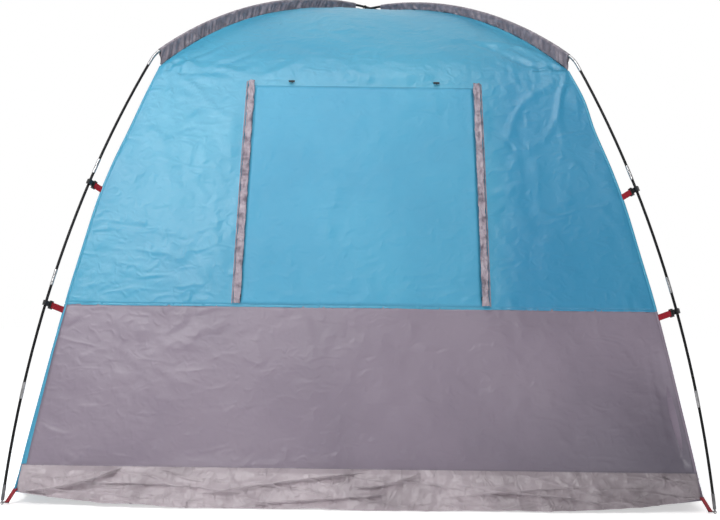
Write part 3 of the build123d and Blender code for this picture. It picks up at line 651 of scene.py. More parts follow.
def hard_material(name, colour, deep, rough, metallic=0.0, grain=(1, 1, 1), scale=220, specular=0.5,
                  depth=0.0001):
    """Plastic, glass-fibre or metal with fine marks, scuffs and uneven gloss."""
    s = Surface(name, on_cloth=False)
    marks = s.noise(scale, 4.0, 0.6, 0.0, "FBM", grain)
    scuffs = s.noise(35, 5.0, 0.7, 0.8)
    s.bump(marks, depth, 0.6)
    tone = s.tint(s.ramp(scuffs, ((0.35, deep), (0.62, colour))), marks, 0.25, deep)
    rough = s.ranged(scuffs, To_Min=rough[0], To_Max=rough[1])
    return s.finish(tone, rough, Metallic=metallic, Specular_IOR_Level=specular)


def zip_material(name, colour, deep, pitch):
    s = Surface(name)
    teeth = s.wave(pitch, "Y")
    s.bump(teeth, 0.0005, 0.8)
    tone = s.tint(s.ramp(teeth, ((0.2, deep), (0.8, colour))), s.noise(80), 0.3, deep)
    return s.finish(tone, 0.55, Specular_IOR_Level=0.35)


rod_black = hard_material(
    "glass_fibre", (0.010, 0.010, 0.011), (0.003, 0.003, 0.004), (0.34, 0.46),
    grain=(1, 1, 0.05), scale=160, specular=0.22, depth=0.00002,
)
steel = hard_material(
    "bright_steel", (0.66, 0.66, 0.67), (0.36, 0.36, 0.37), (0.24, 0.42), 1.0, grain=(1, 1, 0.1), scale=600
)
pin_steel = hard_material("zinc_steel", (0.27, 0.27, 0.28), (0.13, 0.13, 0.14), (0.34, 0.55), 1.0)
hook_plastic = hard_material(
    "hook_plastic", (0.012, 0.012, 0.013), (0.006, 0.006, 0.007), (0.32, 0.5), scale=900
)
slider_paint = hard_material("slider_paint", (0.035, 0.036, 0.040), (0.015, 0.015, 0.018), (0.3, 0.48), 0.6)
cord_black = hard_material(
    "cord_sheath", (0.010, 0.010, 0.012), (0.004, 0.004, 0.005), (0.6, 0.8), scale=1500, depth=0.0004
)
toggle_plastic = hard_material("toggle_plastic", (0.013, 0.013, 0.014), (0.006, 0.006, 0.007), (0.3, 0.5))
red_webbing = webbing_material(
    "red_webbing", (0.46, 0.006, 0.024), (0.28, 0.003, 0.012), (0.54, 0.020, 0.045)
)
zip_coil = zip_material("zip_coil", (0.13, 0.30, 0.44), (0.05, 0.14, 0.24), 0.0012)
net = net_material()
sheeting = sheet_material()

NODE_MATERIALS = {  # CAD nodes that keep their own shape, by how their names start
    ("leg_rods", "roof_rods"): rod_black,
    ("elbow", "ferrules"): steel,
    ("corner_rings", "corner_pins", "pole_tips"): pin_steel,
    ("hook",): hook_plastic,
    ("door_slider", "window_slider"): slider_paint,
    ("toggle", "window_toggle"): toggle_plastic,
    ("shock_cords",): cord_black,
}
for name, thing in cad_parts.items():
    for starts, material in NODE_MATERIALS.items():
        if name.startswith(starts):
            thing.data.materials.clear()
            thing.data.materials.append(material)


# ---------------- canopy: roof, upper walls and door wall
wall_rows = heights_between(BAND_TOP, CREASE, OPENING_LOW, OPENING_HIGH)
low_rows = heights_between(WALL_BOTTOM, BAND_TOP)
roof_cells = round((TOP_RUN - CREASE_RUN) / CELL)
roof_rows = np.linspace(CREASE_TURN, math.pi / 2, roof_cells + 1)
CANOPY_CELLS = (64, 46)  # columns inside the window or door, and beside it
OPENING_IN = 0.030  # from the strip's centre line in to the window opening
HEM_LOW, HEM_LIFT, HEM_POWER = 0.0025, 0.044, 4.2  # the lower edges' height, and how the corners lift it
RETURN_TOP, RETURN_MORE = 0.003, 0.019  # the door wall's cloth round its corners: at the band's top, more below
PROBE = 1e-5  # small step for the slope of the door's outline


def opening_half(height):
    return strip_line(height) - OPENING_IN


def snapped(across, height, keep, grow):
    """The grid with the points round its opening moved on to the door's outline."""
    rows, columns = across.shape
    kept, dropped = np.zeros((2, rows, columns), bool)
    for di in (0, 1):
        for dj in (0, 1):
            kept[di:rows - 1 + di, dj:columns - 1 + dj] |= keep
            dropped[di:rows - 1 + di, dj:columns - 1 + dj] |= ~keep
    for _ in range(3):
        away = door_distance(across, height, grow)
        slopes = [
            door_distance(across + dx, height + dz, grow) - door_distance(across - dx, height - dz, grow)
            for dx, dz in ((PROBE, 0), (0, PROBE))
        ]
        move = (kept & dropped) * away / (2 * PROBE)
        across, height = across - move * slopes[0], height - move * slopes[1]
    return across, height


def middles(grid):
    return (grid[:-1, :-1] + grid[:-1, 1:] + grid[1:, :-1] + grid[1:, 1:]) / 4


def canopy_side(side, wrinkled):
    inner, outer = CANOPY_CELLS
    heights = np.concatenate([low_rows[:-1], wall_rows]) if side == "left" else wall_rows
    half = wall_half(heights)
    middle = np.full_like(half, DOOR_HALF + DOOR_GAP) if side == "left" else opening_half(heights)
    across = knotted(middle, half, inner, outer)
    height = np.repeat(heights[:, None], across.shape[1], axis=1)
    keep = np.ones((across.shape[0] - 1, across.shape[1] - 1), bool)
    if side == "front":
        level = middles(height)[:, 0]
        keep[(level > OPENING_LOW) & (level < OPENING_HIGH), outer:outer + inner] = False
    if side == "left":
        keep &= door_distance(middles(across), middles(height), DOOR_GAP) > 0
        across, height = snapped(across, height, keep, DOOR_GAP)
    wall = patch(side, across, lifted(across, height), 0.0, wrinkled, keep)
    roof_halves = roof_half(roof_rows)
    crown = knotted(roof_halves * middle[-1] / half[-1], roof_halves, inner, outer)
    roof = on_roof(side, crown, roof_rows[:, None], wrinkled)
    return [wall, (*roof, quads(*crown.shape))]


def hem_height(share):
    """Height of the lower edge of walls and skirts, which the corner straps lift."""
    return HEM_LOW + HEM_LIFT * np.abs(share) ** HEM_POWER


def lifted(across, height):
    """Heights of the lowest cloth, drawn up to the lifted edge near the corners."""
    hem = hem_height(across / wall_half(height))
    share = np.clip((height - WALL_BOTTOM) / (SKIRT_TOP - WALL_BOTTOM), 0, 1)
    return np.where(height < SKIRT_TOP, hem + (SKIRT_TOP - hem) * share, height)


def turned_in(height):
    """How far the door wall's cloth reaches round the corner on to the next side, below the blue panel."""
    return RETURN_TOP + RETURN_MORE * (1 - height / BAND_TOP)


def corner_returns(wrinkled):
    grids = []
    for side, hand in (("front", -1), ("back", 1)):
        half = wall_half(low_rows)[:, None]
        across = hand * (half - turned_in(low_rows)[:, None] * np.linspace(0, 1, 4))
        grids.append(patch(side, across, lifted(across, low_rows[:, None]), 0.0, wrinkled))
    return grids


def canopy_grids(wrinkled=True):
    return [grid for side in SIDES for grid in canopy_side(side, wrinkled)] + corner_returns(wrinkled)


def pattern_area(grids):
    return sum(area_of(points, faces) for points, _, faces in grids)


canopy = make(
    "canopy", canopy_grids(), blue, thickness=FABRIC,
    replaces=[f"roof_panel_{side}" for side in SIDES]
    + ["upper_wall_front", "upper_wall_right", "upper_wall_back", "door_wall"],
)


# ---------------- lower bands, one cloth round three sides
BAND_SIDES = ("front", "right", "back")
BAND_COLUMNS = 177


def band_grids(wrinkled=True):
    grids = []
    half = wall_half(low_rows)[:, None]
    inset = turned_in(low_rows)[:, None]
    for side in BAND_SIDES:
        left = -half + (inset if side == "front" else 0)
        right = half - (inset if side == "back" else 0)
        across = left + (right - left) * np.linspace(0, 1, BAND_COLUMNS)
        grids.append(patch(side, across, lifted(across, low_rows[:, None]), 0.0, wrinkled))
    return grids


bands = make(
    "lower_bands", band_grids(), grey, thickness=FABRIC,
    replaces=[f"lower_band_{side}" for side in BAND_SIDES],
)


# ---------------- seams that show as raised tapes
LEVEL_SEAM_HALF, LEVEL_SEAM_COLUMNS = 0.0045, 260
CORNER_SEAM_LOW, CORNER_SEAM_STEP, CORNER_SEAM_PROUD = 0.075, 0.010, 0.0024
CORNER_SEAM_PROFILE = ((0.0075, 0.0003), (0.0065, 0.0013), (0.0025, 0.0016))  # in from the corner, height


def level_seam(name, level, sides, material, proud=0.0011):
    """A felled seam along one height of the walls."""
    heights = level + LEVEL_SEAM_HALF * np.array([-1, -0.75, 0, 0.75, 1])[:, None]
    lifts = proud * np.array([0.1, 0.85, 1, 0.85, 0.1])[:, None]
    across = wall_half(level) * np.linspace(-1, 1, LEVEL_SEAM_COLUMNS)
    puckers = 1 + 0.35 * np.sin(across / 0.0024)
    return make(name, [patch(side, across, heights, lifts * puckers) for side in sides], material)


band_seam = level_seam("band_seam", BAND_TOP, BAND_SIDES, blue)
skirt_seam = level_seam("skirt_seam", SKIRT_TOP, SIDES, grey, 0.0026)


def corner_seam(leg, low, high, material, slot, name):
    """The binding on one corner of the walls, folded round it."""
    after, before = (next(side for side in SIDES if CORNER_LEGS[side][end] == leg) for end in (0, 1))
    heights = np.arange(low, high, CORNER_SEAM_STEP)
    half = wall_half(heights)
    rho = (half - edge_pull(heights, leg)) * ROOT2 + CORNER_SEAM_PROUD
    ridge = rho[:, None] * compass(LEGS[leg])[0] + (heights + 0.0004)[:, None] * UP
    left = [on_wall(before, half - inset, heights, lift)[0] for inset, lift in CORNER_SEAM_PROFILE]
    right = [on_wall(after, inset - half, heights, lift)[0] for inset, lift in CORNER_SEAM_PROFILE]
    points = np.stack([*left, ridge, *right[::-1]], axis=1)
    uv = paired(np.linspace(0, 0.018, 7), heights[:, None])
    return make(name, [(points, uv, quads(*uv.shape[:2]))], material)


corner_seams = []
for leg in LEGS:
    lower = (blue, "blue_fabric") if leg.endswith("left") else (grey, "grey_fabric")
    corner_seams += [
        corner_seam(leg, BAND_TOP, CREASE - 0.002, blue, "blue_fabric", f"corner_seam_upper_{leg}"),
        corner_seam(leg, CORNER_SEAM_LOW, BAND_TOP, *lower, f"corner_seam_lower_{leg}"),
    ]

pattern_area(canopy_grids(False))
pattern_area(band_grids(False))


# ---------------- mud skirts
SKIRT_FLAT = (2.63, 0.165)
SKIRT_CELLS = (44, 300)  # points down and along
SKIRT_END = 1.312  # from the wall's middle to the skirt's end, along the skirt
SKIRT_SPREAD, SKIRT_BELLY, SKIRT_CLEAR = 0.056, 0.009, 0.0030  # how far the cloth stands out from the wall
LONG_WAVES, SHORT_WAVES, LINES, SHARP_LINES = 0.0080, 0.0030, 0.0080, 0.0070  # how high the wrinkles stand
FOLD_SOFT, FOLD_REACH, FOLD_DEPTH = 0.0035, 0.050, 2.4


def fold_line(x, z, start, end, bow, step):
    """Cloth above a slanting fold stands out over it by step, and so shades the fold."""
    (x0, z0), (x1, z1) = start, end
    share = np.clip((x - x0) / (x1 - x0), 0, 1)
    line = z0 + (z1 - z0) * share + bow * np.sin(math.pi * share)
    ends = ease(share / 0.12 + 0.15) * ease((1 - share) / 0.12)
    inside = (share > 0) & (share < 1)
    over = ease((z - line) / FOLD_SOFT + 0.5) * np.exp(-np.maximum(z - line, 0) / FOLD_REACH)
    return FOLD_DEPTH * step * over * ends * inside


FRONT_FOLDS = (  # start, end, bow and step
    ((-1.315, 0.048), (-0.90, 0.150), -0.018, 0.015),
    ((1.315, 0.042), (1.17, 0.150), 0.004, 0.009),
    ((-0.62, 0.052), (0.11, 0.148), 0.006, 0.010),
    ((-1.02, 0.085), (-0.44, 0.060), 0.010, 0.006),
    ((-0.02, 0.085), (0.26, 0.148), -0.020, 0.008),
    ((-0.42, 0.022), (0.12, 0.062), -0.004, 0.009),
    ((0.98, 0.030), (0.44, 0.070), 0.012, 0.006),
    ((0.30, 0.045), (0.92, 0.100), 0.006, 0.005),
)


FOLD_TRIES, FOLD_SHORTEST, FOLD_END = 9, 0.15, 1.3  # most folds on a skirt, and their reach along it


def random_folds(seed):
    """Slanting folds for one skirt, each with its two ends, its bow and its step."""
    rng = np.random.default_rng(seed)
    folds = []
    for _ in range(FOLD_TRIES):
        x0 = rng.uniform(-FOLD_END, 1.2)
        length = rng.uniform(0.25, 0.7) * rng.choice([-1, 1])
        x1 = float(np.clip(x0 + length, -FOLD_END, FOLD_END))
        z0 = rng.uniform(0.025, 0.09)
        z1 = z0 + rng.uniform(0.02, 0.08)
        if abs(x1 - x0) > FOLD_SHORTEST:
            folds.append(((x0, z0), (x1, z1), rng.uniform(-0.015, 0.012), rng.uniform(0.004, 0.011)))
    return folds


def skirt_grid(side, seed, folds, plain=False):
    """A skirt from its seam on the wall down to the ground, spread in its middle and held in at its ends."""
    rows = np.linspace(0, 1, SKIRT_CELLS[0])[:, None]
    share = np.linspace(-1, 1, SKIRT_CELLS[1])[None, :]
    x = share * SKIRT_END
    uneven = 0.0 if plain else 0.004 * ripple(seed, 9, 0.22, 0.7)(x, 0 * x) ** 2
    z = SKIRT_TOP + (hem_height(share) + uneven - SKIRT_TOP) * rows
    x = x * (wall_half(z) - 0.003) / SKIRT_END
    from_end = 1 - np.abs(share)
    spread = SKIRT_SPREAD * ease(from_end / 0.5) ** 0.8 * rows**1.25
    belly = SKIRT_BELLY * np.sin(math.pi * rows) * ease(from_end / 0.3)
    out = wall_half(z) + SKIRT_CLEAR + spread + belly
    if not plain:
        held = ease(rows / 0.12) * ease(from_end / 0.05)
        long_waves = ripple(seed + 1, 16, 0.05, 0.22)(x * 0.22, z)
        short_waves = ripple(seed + 2, 24, 0.018, 0.07)(x * 0.55, z)
        lines = creases(ripple(seed + 3, 14, 0.05, 0.16), 0.09)(x * 0.3, z)
        sharp = creases(ripple(seed + 4, 12, 0.09, 0.30, tilt=(1.15, 1.5)), 0.05)(x * 0.5, z)
        waves = LONG_WAVES * long_waves + SHORT_WAVES * short_waves
        out = out + held * (waves + LINES * lines + SHARP_LINES * sharp + 0.003)
        for fold in folds:
            out = out + held * fold_line(x, z, *fold)
        out = out + THIN_FABRIC * ease((rows - 0.93) / 0.02)  # the hem is doubled
        out = np.maximum(out, wall_half(z) + 0.0022)
    return placed(side, out, x, z), paired(x, z), quads(*SKIRT_CELLS)


for n, side in enumerate(SIDES):
    folds = FRONT_FOLDS if side == "front" else random_folds(60 + n)
    grid = skirt_grid(side, 300 + 10 * n, folds)
    skirt = make(
        f"mud_skirt_{side}", [grid], skirt_cloth, "tent", [f"skirt_{side}"], THIN_FABRIC
    )
    area = min(pattern_area([skirt_grid(side, 0, (), plain=True)]), SKIRT_FLAT[0] * SKIRT_FLAT[1])


# ---------------- pole sleeves
SLEEVE_SHORT = 0.045  # the right sleeves stop this much further from the crossing than their CAD solids
SLEEVE_ENDS = (0.004, 0.006)  # the left ones stop this far from them there, and all of them at the shoulder
SLEEVE_SLANT, SLANT_RUN = 0.030, 0.14  # the outer end reaches this much further at its seam, over this run
SLEEVE_STEP = 0.0055
SLEEVE_CLOTH = 0.0005
TUBE = 0.0082  # radius of the cloth round the pole
TUBE_WRAP = 0.35  # radians that it wraps past each side of the pole
TUBE_CELLS, WEB_CELLS = 12, 11  # cells round the tube, and down each side of the web
WEB_HALF = 0.0010  # half the distance between the two layers at the seam
PLEATS, SLOW_WAVES, SHARP_PLEATS = 0.0036, 0.0020, 0.0046
ALONG = (-0.2, 0.2)  # directions of the waves that a gathered sleeve has


def sleeve(leg, seed):
    """A gathered sleeve: a tube of cloth round the pole and a doubled web down to the roof's seam."""
    low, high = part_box(f"sleeve_{leg}")
    roof = POLE_ROOFS[leg in UPPER_POLE_LEGS]
    outwards, rightwards = compass(LEGS[leg])
    far = max(abs(low.x), abs(high.x)) * ROOT2 - SLEEVE_ENDS[1]
    near = min(abs(low.x), abs(high.x)) * ROOT2 + (SLEEVE_SHORT if "right" in leg else SLEEVE_ENDS[0])
    first, last = math.acos(near / roof[2]), math.acos(far / roof[2])
    turns = np.linspace(first, last, round((first - last) * roof[2] / SLEEVE_STEP))
    along = (first - turns) * roof[2]
    bend = np.linspace(-TUBE_WRAP, math.pi + TUBE_WRAP, TUBE_CELLS + 1)
    web = np.linspace(0, 1, WEB_CELLS + 1)[:-1]
    edge = TUBE * np.array([math.cos(bend[0]), math.sin(bend[0])])
    sunk = np.concatenate([1 - web, np.zeros(len(bend)), 1 - web[::-1]])  # 1 at the seam, 0 at the tube
    s = along[:, None]
    slant = SLEEVE_SLANT * ease((s - along[-1] + SLANT_RUN) / SLANT_RUN) * sunk
    turn = turns[:, None] - slant / roof[2]
    normal = np.cos(turn)[..., None] * outwards + np.sin(turn)[..., None] * UP
    pole = roof[2] * normal + roof[1] * UP
    dx, dz = roof[2] * np.cos(turn), roof[1] + roof[2] * np.sin(turn) - ROOF[1]
    inward = dx * np.cos(turn) + dz * np.sin(turn)
    drop = inward - np.sqrt(np.maximum(inward**2 - (dx**2 + dz**2 - ROOF[2] ** 2), 0)) + 0.0006
    web_side = WEB_HALF + (edge[0] - WEB_HALF) * web**1.3
    side_off = np.concatenate([web_side, TUBE * np.cos(bend), -web_side[::-1]]) * np.ones_like(turn)
    up_off = np.concatenate([edge[1] * web, TUBE * np.sin(bend), edge[1] * web[::-1]]) - sunk * drop
    pleat = ripple(seed, 26, 0.012, 0.055, tilt=ALONG)
    slow = ripple(seed + 1, 8, 0.06, 0.25, tilt=ALONG)
    sharp = creases(ripple(seed + 2, 16, 0.02, 0.08, tilt=ALONG), 0.22)
    depth = np.clip((0.004 - up_off) / 0.03, 0, 1)
    free = ease((up_off + drop) / 0.006 + 0.12)
    shear = s + 0.5 * up_off
    waves = ((PLEATS, pleat), (SLOW_WAVES, slow), (SHARP_PLEATS, sharp))
    wobble = sum(size * field(shear, 0 * shear) for size, field in waves)
    side_off = side_off + wobble * depth * free
    gathered = np.abs(pleat(s * 1.3 + 4, 0 * s)) * (1 - depth)
    up_off = up_off + 0.0006 * gathered
    side_off = side_off * (1 + 0.08 * gathered)
    points = pole - side_off[..., None] * rightwards + up_off[..., None] * normal
    rim = lengths_along(np.stack([side_off[0], up_off[0]], axis=-1))
    thing = sew(f"pole_sleeve_{leg}", [(points, paired(rim, s), quads(*points.shape[:2]))], FINE_MERGE)
    hub = Vector(pole[len(along) // 2, len(web) + len(bend) // 2])
    near_hub = [p for p in thing.data.polygons if (p.center - hub).length < 0.02]
    if sum((p.center - hub).dot(p.normal) for p in near_hub) < 0:
        thing.data.flip_normals()
    thicken(thing, SLEEVE_CLOTH)
    finish_piece(thing, sleeve_grey, replaces=[f"sleeve_{leg}"])


for n, leg in enumerate(LEGS):
    sleeve(leg, 500 + 10 * n)


# ---------------- window: net, flap, zips, storm strips
NET_INSET, NET_SUNK = 0.0004, -0.0007
FLAP_CLEAR = 0.0166  # between the flap's edge and the strip's centre line
ZIP_IN, ZIP_HALF = 0.0116, 0.0036  # the zip's line in from the strip's centre, and its tape's half width
COIL_RADIUS, COIL_RIB = 0.0008, 0.28  # a zip coil's radius, and how much its ribs add to it
STRIP_RISE = 0.018  # the strips run on above the flap
STRIP_CLEAR = 0.0074  # the strips stay this far off the wall, clear of the zips' sliders
STRIP_CELLS = (234, 15)
STRIP_SEAMS = (0.905, 1.085, 1.250, 1.430, 1.575)  # heights where the gathered strips are pinched across


def window_net():
    heights = heights_between(OPENING_LOW + NET_INSET, OPENING_HIGH - NET_INSET)[:, None]
    across = (opening_half(heights) - NET_INSET) * np.linspace(-1, 1, 70)
    grid = patch("front", across, heights, NET_SUNK)
    thing = make("insect_net", [grid], net, replaces=["window_mesh"])


def window_flap():
    heights = heights_between(WINDOW_LOW, WINDOW_HIGH)[:, None]
    half = strip_line(heights) - FLAP_CLEAR
    across = half * np.linspace(-1, 1, 80)
    rim = np.minimum(half - np.abs(across), np.minimum(heights - WINDOW_LOW, WINDOW_HIGH - heights))
    hem = 0.0004 * ease(1 - (rim - 0.012) / 0.002)
    sewn = ease((WINDOW_HIGH - heights) / 0.012)
    slack = creases(ripple(640, 14, 0.05, 0.22, tilt=(1.2, 1.9)), 0.35)(across, heights)
    gathered = 0.0045 * slack * bump_at(heights, WINDOW_LOW + 0.035, 0.045) * ease(rim / 0.02)
    grid = patch("front", across, heights, 0.0010 + (0.0006 + hem) * sewn + gathered)
    thing = make("flap", [grid], flap_blue, "window_flap", ["window_flap"], THIN_FABRIC)


def tube_grid(points, radius, one, two, sides, pitch):
    """A tube round a line of points, from two directions across it; pitch is the cloth's length a point."""
    ring = np.linspace(0, 2 * math.pi, sides + 1)
    spokes = np.cos(ring)[None, :, None] * one[:, None, :] + np.sin(ring)[None, :, None] * two[:, None, :]
    grid = points[:, None, :] + np.reshape(radius, (-1, 1, 1)) * spokes
    uv = paired(ring * np.min(radius), np.arange(len(points))[:, None] * pitch)
    return grid, uv, quads(*uv.shape[:2])


def crosswise(points, reference):
    """Directions along the line of points, and across both it and the reference."""
    tangents = unit(np.gradient(points, axis=0).T).T
    return tangents, unit(np.cross(tangents, reference).T).T


def coil(name, side, across, height, lift, radius):
    """A zip's coil: a small tube whose turns show as ribs."""
    points = on_wall(side, across, height, lift)[0]
    normals = surface_normals(side, height)
    ribs = radius * (1 + COIL_RIB * (np.arange(len(points)) % 2))
    grid = tube_grid(points, ribs, crosswise(points, normals)[1], normals, 6, 0.0008)
    finish_piece(sew(name, [grid], FINE_MERGE), zip_coil)


def surface_normals(side, height):
    lean = side_slope(wall_turn(height))
    return lean[0][:, None] * compass(SIDES[side])[0] + lean[1][:, None] * UP


def window_zip(hand, name, standing):
    heights = heights_between(WINDOW_LOW, WINDOW_HIGH)[:, None]
    across = hand * (strip_line(heights) - ZIP_IN) + ZIP_HALF * np.linspace(-1, 1, 5)
    make(f"zip_tape_{name}", [patch("front", across, heights, 0.0008)], zip_coil, replaces=standing)
    fine = np.arange(WINDOW_LOW, WINDOW_HIGH, 0.0009)
    coil(f"zip_coil_{name}", "front", hand * (strip_line(fine) - ZIP_IN), fine, 0.0017, COIL_RADIUS)


def storm_strip(hand, name, seed):
    top = WINDOW_HIGH + STRIP_RISE
    heights = np.linspace(WINDOW_LOW, top, STRIP_CELLS[0])[:, None]
    share = np.linspace(-1, 1, STRIP_CELLS[1])[None, :]
    wander = ripple(seed, 10, 0.05, 0.2)
    crumple = ripple(seed + 1, 30, 0.010, 0.045)
    lines = creases(ripple(seed + 2, 16, 0.02, 0.07), 0.16)
    slanting = creases(ripple(seed + 3, 12, 0.03, 0.11, tilt=(1.0, 1.5)), 0.13)
    pinched = 0.16 + 0.16 * ease((heights - 1.50) / 0.15)
    narrow = 1 - pinched * np.abs(wander(heights, 0 * heights)) - 0.09 * np.abs(crumple(heights, share))
    across = hand * (strip_line(heights) - STRIP_HALF * share * narrow)
    place = share * STRIP_HALF
    folds = 0.0026 * (crumple(place, heights * 0.8) + lines(place, heights * 0.7))
    folds = folds + 0.0065 * slanting(place, heights)
    for level in STRIP_SEAMS:
        folds = folds + 0.0012 * np.exp(-(((heights - level) / 0.0035) ** 2))
    free = ease((share + 1) / 0.25)
    lift = 0.0090 + free * (folds + 0.0012 * np.sin(share * 4.2 + 1.4 * wander(heights, heights)))
    ends = np.minimum(heights - WINDOW_LOW, top - heights)
    lift = np.maximum(lift, STRIP_CLEAR) + 0.0007 * ease(1 - (ends - 0.020) / 0.003)
    body = f"storm_strip_{name}"
    grid = patch("front", across, heights, lift)
    thing = make(
        f"crumpled_strip_{name}", [grid], strip_grey, body, [body], THIN_FABRIC, FINE_MERGE
    )
    rise = np.linspace(0, 1, 6)[None, :]  # from the wall, up to the strip's outer edge
    root = hand * (strip_line(heights) + STRIP_HALF + 0.006 * (1 - rise) ** 1.5)
    grid = patch("front", root, heights, 0.0003 + 0.0084 * rise**1.3)
    seam = make(f"strip_seam_{name}", [grid], strip_grey, merge=FINE_MERGE)


window_net()
window_flap()
window_zip(1, "right", ["window_zips"])
window_zip(-1, "left", [])
storm_strip(1, "right", 700)
storm_strip(-1, "left", 720)


# ---------------- door flap and its zip
DOOR_COLUMNS = 59
DOOR_ZIP = (0.0015, 0.0115)  # the tape's edges, out from the door's outline


def door():
    heights = heights_between(DOOR_LOW, DOOR_HIGH)
    across, height = np.meshgrid(np.linspace(-DOOR_HALF, DOOR_HALF, DOOR_COLUMNS), heights)
    keep = door_distance(middles(across), middles(height)) < 0
    across, height = snapped(across, height, keep, 0.0)
    hem = 0.0005 * ease(1 - (-door_distance(across, height) - 0.014) / 0.003)
    grid = patch("left", across, height, hem, keep=keep)
    thing = make("door", [grid], flap_blue, "door_flap", ["door_flap"], FABRIC)


def door_outline(grow, step):
    """Points round the door's outline, grown all round: (across, height)."""
    half, low, high, rounding = DOOR_HALF + grow, DOOR_LOW - grow, DOOR_HIGH + grow, DOOR_ROUND + grow
    arc = np.linspace(0, math.pi / 2, 60)
    right = [half, high] + rounding * (np.stack([np.cos(arc), np.sin(arc)], axis=1) - 1)
    corners = np.concatenate([[[-half, low], [half, low]], right, right[::-1] * [-1, 1], [[-half, low]]])
    lengths = lengths_along(corners)
    at = np.arange(0, lengths[-1], step)
    return np.stack([np.interp(at, lengths, corners[:, n]) for n in (0, 1)], axis=1)


def door_zip():
    columns = [door_outline(reach, 0.008) for reach in np.linspace(*DOOR_ZIP, 6)]
    count = min(len(c) for c in columns)
    grid = np.stack([c[np.linspace(0, len(c) - 1, count).round().astype(int)] for c in columns], axis=1)
    tape = patch("left", grid[..., 0], grid[..., 1], -0.0004)
    make("door_zip_tape", [tape], zip_coil, replaces=["door_zip"])
    line = door_outline(0.006, 0.0012)
    coil("door_zip_coil", "left", line[:, 0], line[:, 1], 0.0004, 0.0009)


door()
door_zip()


# ---------------- shoulder patches
PATCH_DEPTH, PATCH_WIDTH, PATCH_CELLS = 0.150, 0.057, (16, 8)


def shoulder_patches():
    down = np.linspace(0, 1, PATCH_CELLS[0])[:, None]
    height = CREASE - 0.003 - PATCH_DEPTH * down
    reach = (PATCH_WIDTH * (1 - down) + 0.002) * np.linspace(0, 1, PATCH_CELLS[1])
    across = wall_half(height) - 0.001 - reach
    grids = [patch(side, hand * across, height, 0.0010) for side in ("left", "right") for hand in (1, -1)]
    thing = make("corner_patches", grids, grey, replaces=["shoulder_patches"], merge=FINE_MERGE)


shoulder_patches()


# ---------------- groundsheet
def groundsheet():
    half = float(wall_half(WALL_BOTTOM)) - 0.004
    x, y = np.meshgrid(*[np.linspace(-half, half, 110)] * 2)
    edge = ease((half - np.maximum(np.abs(x), np.abs(y))) / 0.05)
    z = 0.0014 + edge * 0.0045 * ease(0.5 + 0.7 * ripple(901, 20, 0.08, 0.5)(x, y))
    kept = 1 - 0.19 * (x / half) ** 4 * (y / half) ** 4  # the corners are drawn in
    points = np.stack([x * kept, y * kept, z], axis=-1)
    thing = sew("ground_sheet", [(points, points[..., :2], quads(*x.shape))])
    if sum(p.normal.z for p in thing.data.polygons) < 0:
        thing.data.flip_normals()
    finish_piece(thing, sheeting, replaces=["groundsheet"])


groundsheet()


# ---------------- webbing on the legs and at the feet
WEBBING = 0.0245  # width
LOOP_END = math.pi * 0.84  # a strap's loop round its bar is open past this turn
HOOK_BAR_IN, PIN_BAR_IN = 0.030, 0.020  # from the pole's line in to the bars that the straps go round
PIN_HEIGHT, CORNER_HEIGHT = 0.008, 0.060  # a foot strap runs from the pin up to the corner


def webbing_grid(outline, across_axis, seed):
    """A doubled strap that loops round a bar: its outline, seen edge on, widened across."""
    share = np.linspace(-0.5, 0.5, 9) * WEBBING
    points = outline[:, None, :] + share[None, :, None] * across_axis
    uv = paired(share, lengths_along(outline)[:, None])
    edge = ripple(seed, 8, 0.01, 0.04)
    return points + 0.0002 * edge(uv[..., :1], uv[..., 1:]), uv, quads(len(outline), 9)


def strap_outline(origin, outwards, normal, length, bore, half_thick):
    """Round the bar and back along both layers, with the layers' ends sewn to the seam."""
    loop = np.linspace(LOOP_END, -LOOP_END, 22)
    ring = bore * np.stack([np.cos(loop), np.sin(loop)], axis=1)
    run = np.linspace(0, 1, 12)[1:]
    left = (1 - run) ** 3
    upper = np.stack(
        [ring[0, 0] - (length + ring[0, 0]) * run, ring[0, 1] * left + half_thick * (1 - left)], axis=1
    )
    line = np.concatenate([upper[::-1], ring, upper * [1, -1]])
    return origin + line[:, :1] * outwards + line[:, 1:] * normal


def leg_strap(degrees, level, seed):
    flat, rightwards = compass(degrees)
    turn = math.asin((level - LEG[1]) / LEG[2])
    outwards = flat * math.cos(turn) + UP * math.sin(turn)
    upwards = UP * math.cos(turn) - flat * math.sin(turn)
    reach = LEG[2] - HOOK_BAR_IN
    rho, z = LEG[0] + reach * math.cos(turn), LEG[1] + reach * math.sin(turn)
    dx, dz = rho - WALL[0], z - WALL[1]
    inward = dx * math.cos(turn) + dz * math.sin(turn)
    length = inward - math.sqrt(inward**2 - dx**2 - dz**2 + WALL[2] ** 2)
    outline = strap_outline(flat * rho + UP * z, outwards, -rightwards, length + 0.003, 0.0036, 0.0011)
    return webbing_grid(outline, upwards, seed)


def foot_strap(degrees, seed):
    flat, rightwards = compass(degrees)
    turn = math.asin((PIN_HEIGHT - LEG[1]) / LEG[2])
    bar = np.array([LEG[0] + LEG[2] * math.cos(turn) - PIN_BAR_IN, PIN_HEIGHT])
    corner = np.array([wall_half(CORNER_HEIGHT) * ROOT2, CORNER_HEIGHT])
    run = np.linalg.norm(bar - corner)
    along = (bar - corner) / run
    outwards, normal = flat * along[0] + UP * along[1], UP * along[0] - flat * along[1]
    outline = strap_outline(flat * bar[0] + UP * bar[1], outwards, normal, run - 0.001, 0.0029, 0.0009)
    return webbing_grid(outline, -rightwards, seed)


def webbing(name, grids, thickness, replaced):
    thing = sew(name, grids, CORD_MERGE)
    thicken(thing, thickness, 0.0)
    finish_piece(thing, red_webbing, replaces=[replaced])


